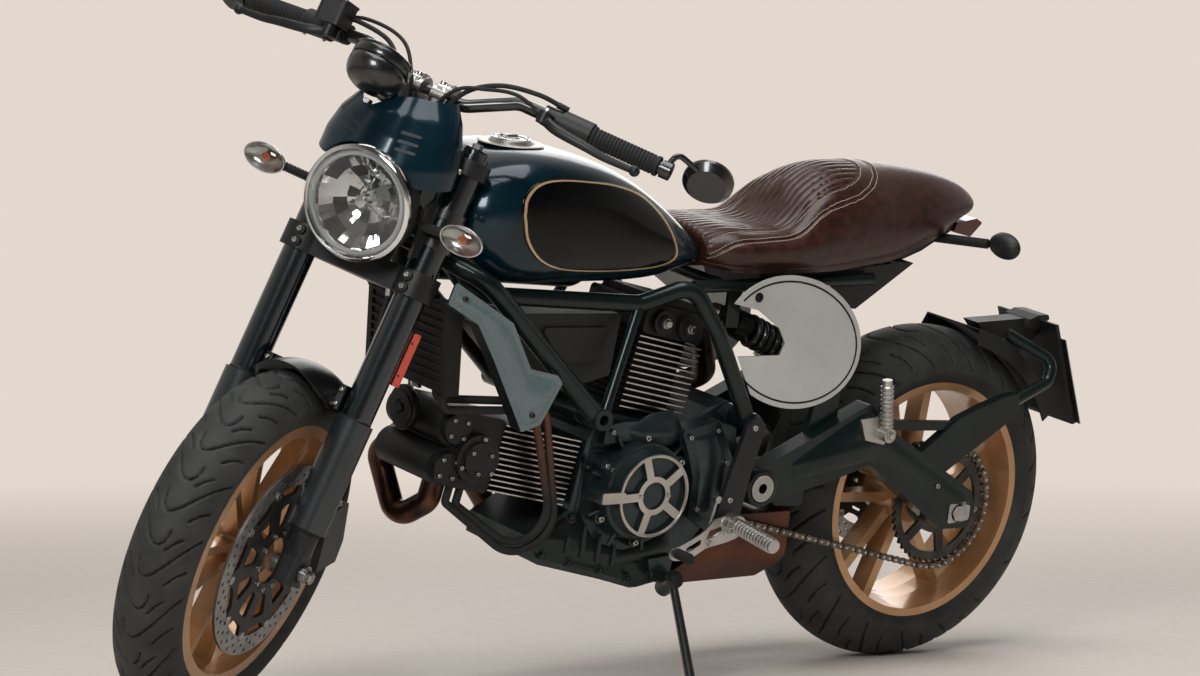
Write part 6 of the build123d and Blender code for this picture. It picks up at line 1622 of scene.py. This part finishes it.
for k in range(5):
    z = 462 - 11 * k
    sheet(covers, [rounded([(0, 0), (46, -5), (46, -9), (0, -5)], 1.5, 2)], (800 - 3 * k, 92, z),
          AHEAD * -1, UP, 4.0)
piece_of("engine_cover_forms", covers, "chassis", "engine_cases",
         ["engine_grey", "dark_steel", "frame_grey"], 50)

# %% [markdown]
# Each radiator cheek is a panel with two screws, raised a little so its edge shades. Its pale
# blue-grey is a painted sky reflection.

# %% Cheek panels
cheeks = bmesh.new()
CHEEK = ((1168, 760), (1046, 690), (1000, 612), (944, 600), (932, 586), (968, 517), (1005, 506),
         (1077, 629), (1116, 689), (1180, 724))
for side in (-1, 1):
    raised_panel(cheeks, CHEEK, 166, side, 9, 2.2, 10)
    for x, z in ((1150, 733), (990, 535)):
        cap_bolt(cheeks, (x, side * 167.6, z), LEFT * side, 9, 1)
piece_of("cheek_panels", cheeks, "chassis", "side_shrouds", ["cheek_painted_sky_sheen", "dark_steel"], 50)

# %% [markdown]
# Levers are forged blades, taller than they are thick, that end in a ball so that a hand can't slip
# off. Each blade is a row of ovals along a smooth line, and they shrink towards the ball.

# %% Levers
PIVOT_Y, OVAL_STEPS = GRIP_START - 66, 16     # mm from the middle, points in an oval
BLADE = ((PIVOT_Y, 46, -10), (GRIP_START - 34, 60, -20), (GRIP_START + 20, 64, -25),
         (BAR_TIP - 70, 61, -28), (BAR_TIP - 20, 54, -27))     # along the bar, ahead of it, above it
for side, word in SIDES:
    lever = bmesh.new()
    line = smooth_line([bar_point(y, side, ahead, rise) for y, ahead, rise in BLADE], 8)
    rings = []
    for k, at in enumerate(line):
        flat, share = up_fork.cross(heading(line, k)).normalized(), k / (len(line) - 1)
        tall, thick = 9.5 - 4.0 * share, 5.2 - 0.6 * share
        rings.append(circle(lever, at, flat * thick, up_fork * tall, 1, OVAL_STEPS))
    lever.faces.new(rings[0][::-1])
    join_rows(lever, rings)
    lever.faces.new(rings[-1])
    way = (line[-1] - line[-2]).normalized()
    lathe(lever, [(9 - 9 * cos(t), 9 * sin(t)) for t in np.linspace(0, pi, 13)], line[-1] - way * 9, way, 24)
    pivot = bar_point(PIVOT_Y, side, 46, 0)
    lathe(lever, [(-19, 0), (-19, 9.4), (-18, 10.6), (1, 10.6), (2, 9.4), (2, 0)], pivot, up_fork, 28)
    hex_bolt(lever, pivot + up_fork * 2, up_fork, 8, 1)
    bar(lever, bar_point(PIVOT_Y, side, 33, -8), bar_point(PIVOT_Y, side, 46, -8), 7, 20)
    piece_of("forged_lever_" + word, lever, "steering", "levers", ["black_cast", "bare_steel"], 40,
             replaces=side > 0)

# %% [markdown]
# The mudguard is a thin curved skin: a grid of points on two arcs, round the wheel and round the
# tyre. Its corners are rounded by letting both end angles depend on the place across.

# %% Front mudguard
ARC_HALF, TYRE_HEART = radians(76), FRONT_R - 55.0     # how far the skin wraps, and mm from the axle
GUARD_LONG, GUARD_WIDE = 40, 32                        # faces round the wheel and across
guard = bmesh.new()
skins = []
for r in (70.0, 73.5):
    rows = []
    for k in range(GUARD_LONG + 1):
        row = []
        for m in range(GUARD_WIDE + 1):
            u = -1 + 2 * m / GUARD_WIDE
            first, last = 92 + 10 * u ** 4, 146 - 8 * u ** 4
            turn = radians(first + (last - first) * k / GUARD_LONG)
            at = spoke(FRONT_AXLE, TYRE_HEART + r * cos(u * ARC_HALF), turn)
            row.append(guard.verts.new(at + LEFT * (r * sin(u * ARC_HALF))))
        rows.append(row)
    join_rows(guard, rows, closed=False)
    skins.append(rows[0] + [row[-1] for row in rows[1:-1]] + rows[-1][::-1]
                 + [row[0] for row in rows[-2:0:-1]])
join_rows(guard, skins)
for side in (-1, 1):
    sheet(guard, [rounded([(-23, -8), (23, -8), (23, 8), (-23, 8)], 5)], at_fork(8, side * 69.5, 263),
          AHEAD_FORK, LEFT, 42)
    for along in (272, 296):
        cap_bolt(guard, at_fork(31, side * 71, along), AHEAD_FORK, 7, 1)
piece_of("front_mudguard_shell", guard, "steering", "front_mudguard", ["satin_guard", "bare_steel"], 50,
         replaces=True)

# %% [markdown]
# Rubber seals sit where one tube enters the next, and keep dust away from the oil.

# %% Fork dust seals
seals = bmesh.new()
for side in (-1, 1):
    for low, high, r in ((251, 261.8, 27.6), (62.3, 68.5, 26.5)):
        lathe(seals, [(low, 20.8), (low, r - 1.5), (low + 1.5, r), (high - 1, r), (high, r - 1),
                      (high, 20.8)], at_fork(12, side * 105, 0), up_fork, 40)
piece_of("fork_dust_seals", seals, "steering", "fork_outers", ["black_rubber"], 40)

# %% [markdown]
# The foot lever hangs on a slotted alloy plate. The slots save weight, and through them the eye
# sees that the plate is thin.

# %% Foot lever plates
ARM = [(566, 348), (534, 336), (534, 308), (560, 300), (604, 292), (640, 272), (676, 274), (682, 292),
       (656, 300), (616, 318), (592, 340)]
SLOTS = [rounded([(574, 330), (574, 316), (606, 306), (604, 322)], 6),
         rounded([(616, 309), (616, 299), (644, 284), (648, 294)], 4), ring_loop(6, 20, (552, 322))]
plates = bmesh.new()
for side in (-1, 1):
    y, link = side * 187.0, (576, side * 172, 372)
    sheet(plates, [rounded(ARM, 7)] + SLOTS, (0, y, 0), AHEAD, UP, -5.0 * side)
    lathe(plates, [(-2, 12), (6, 12), (7, 11), (7, 5), (5, 4), (5, 0)], (566, y, 334), LEFT * side, 28)
    cap_bolt(plates, (666, y + side * 5, 284), LEFT * side, 9)
    hex_bolt(plates, (598, y + side * 5, 300), LEFT * side, 9)
    bar(plates, (598, side * 180, 300), link, 3.2, 12)
    lathe(plates, [(-5, 0), (-5, 6.5), (5, 6.5), (5, 0)], link, LEFT, 20)
piece_of("foot_lever_plates", plates, "chassis", "foot_controls", ["bare_alloy"], 30)
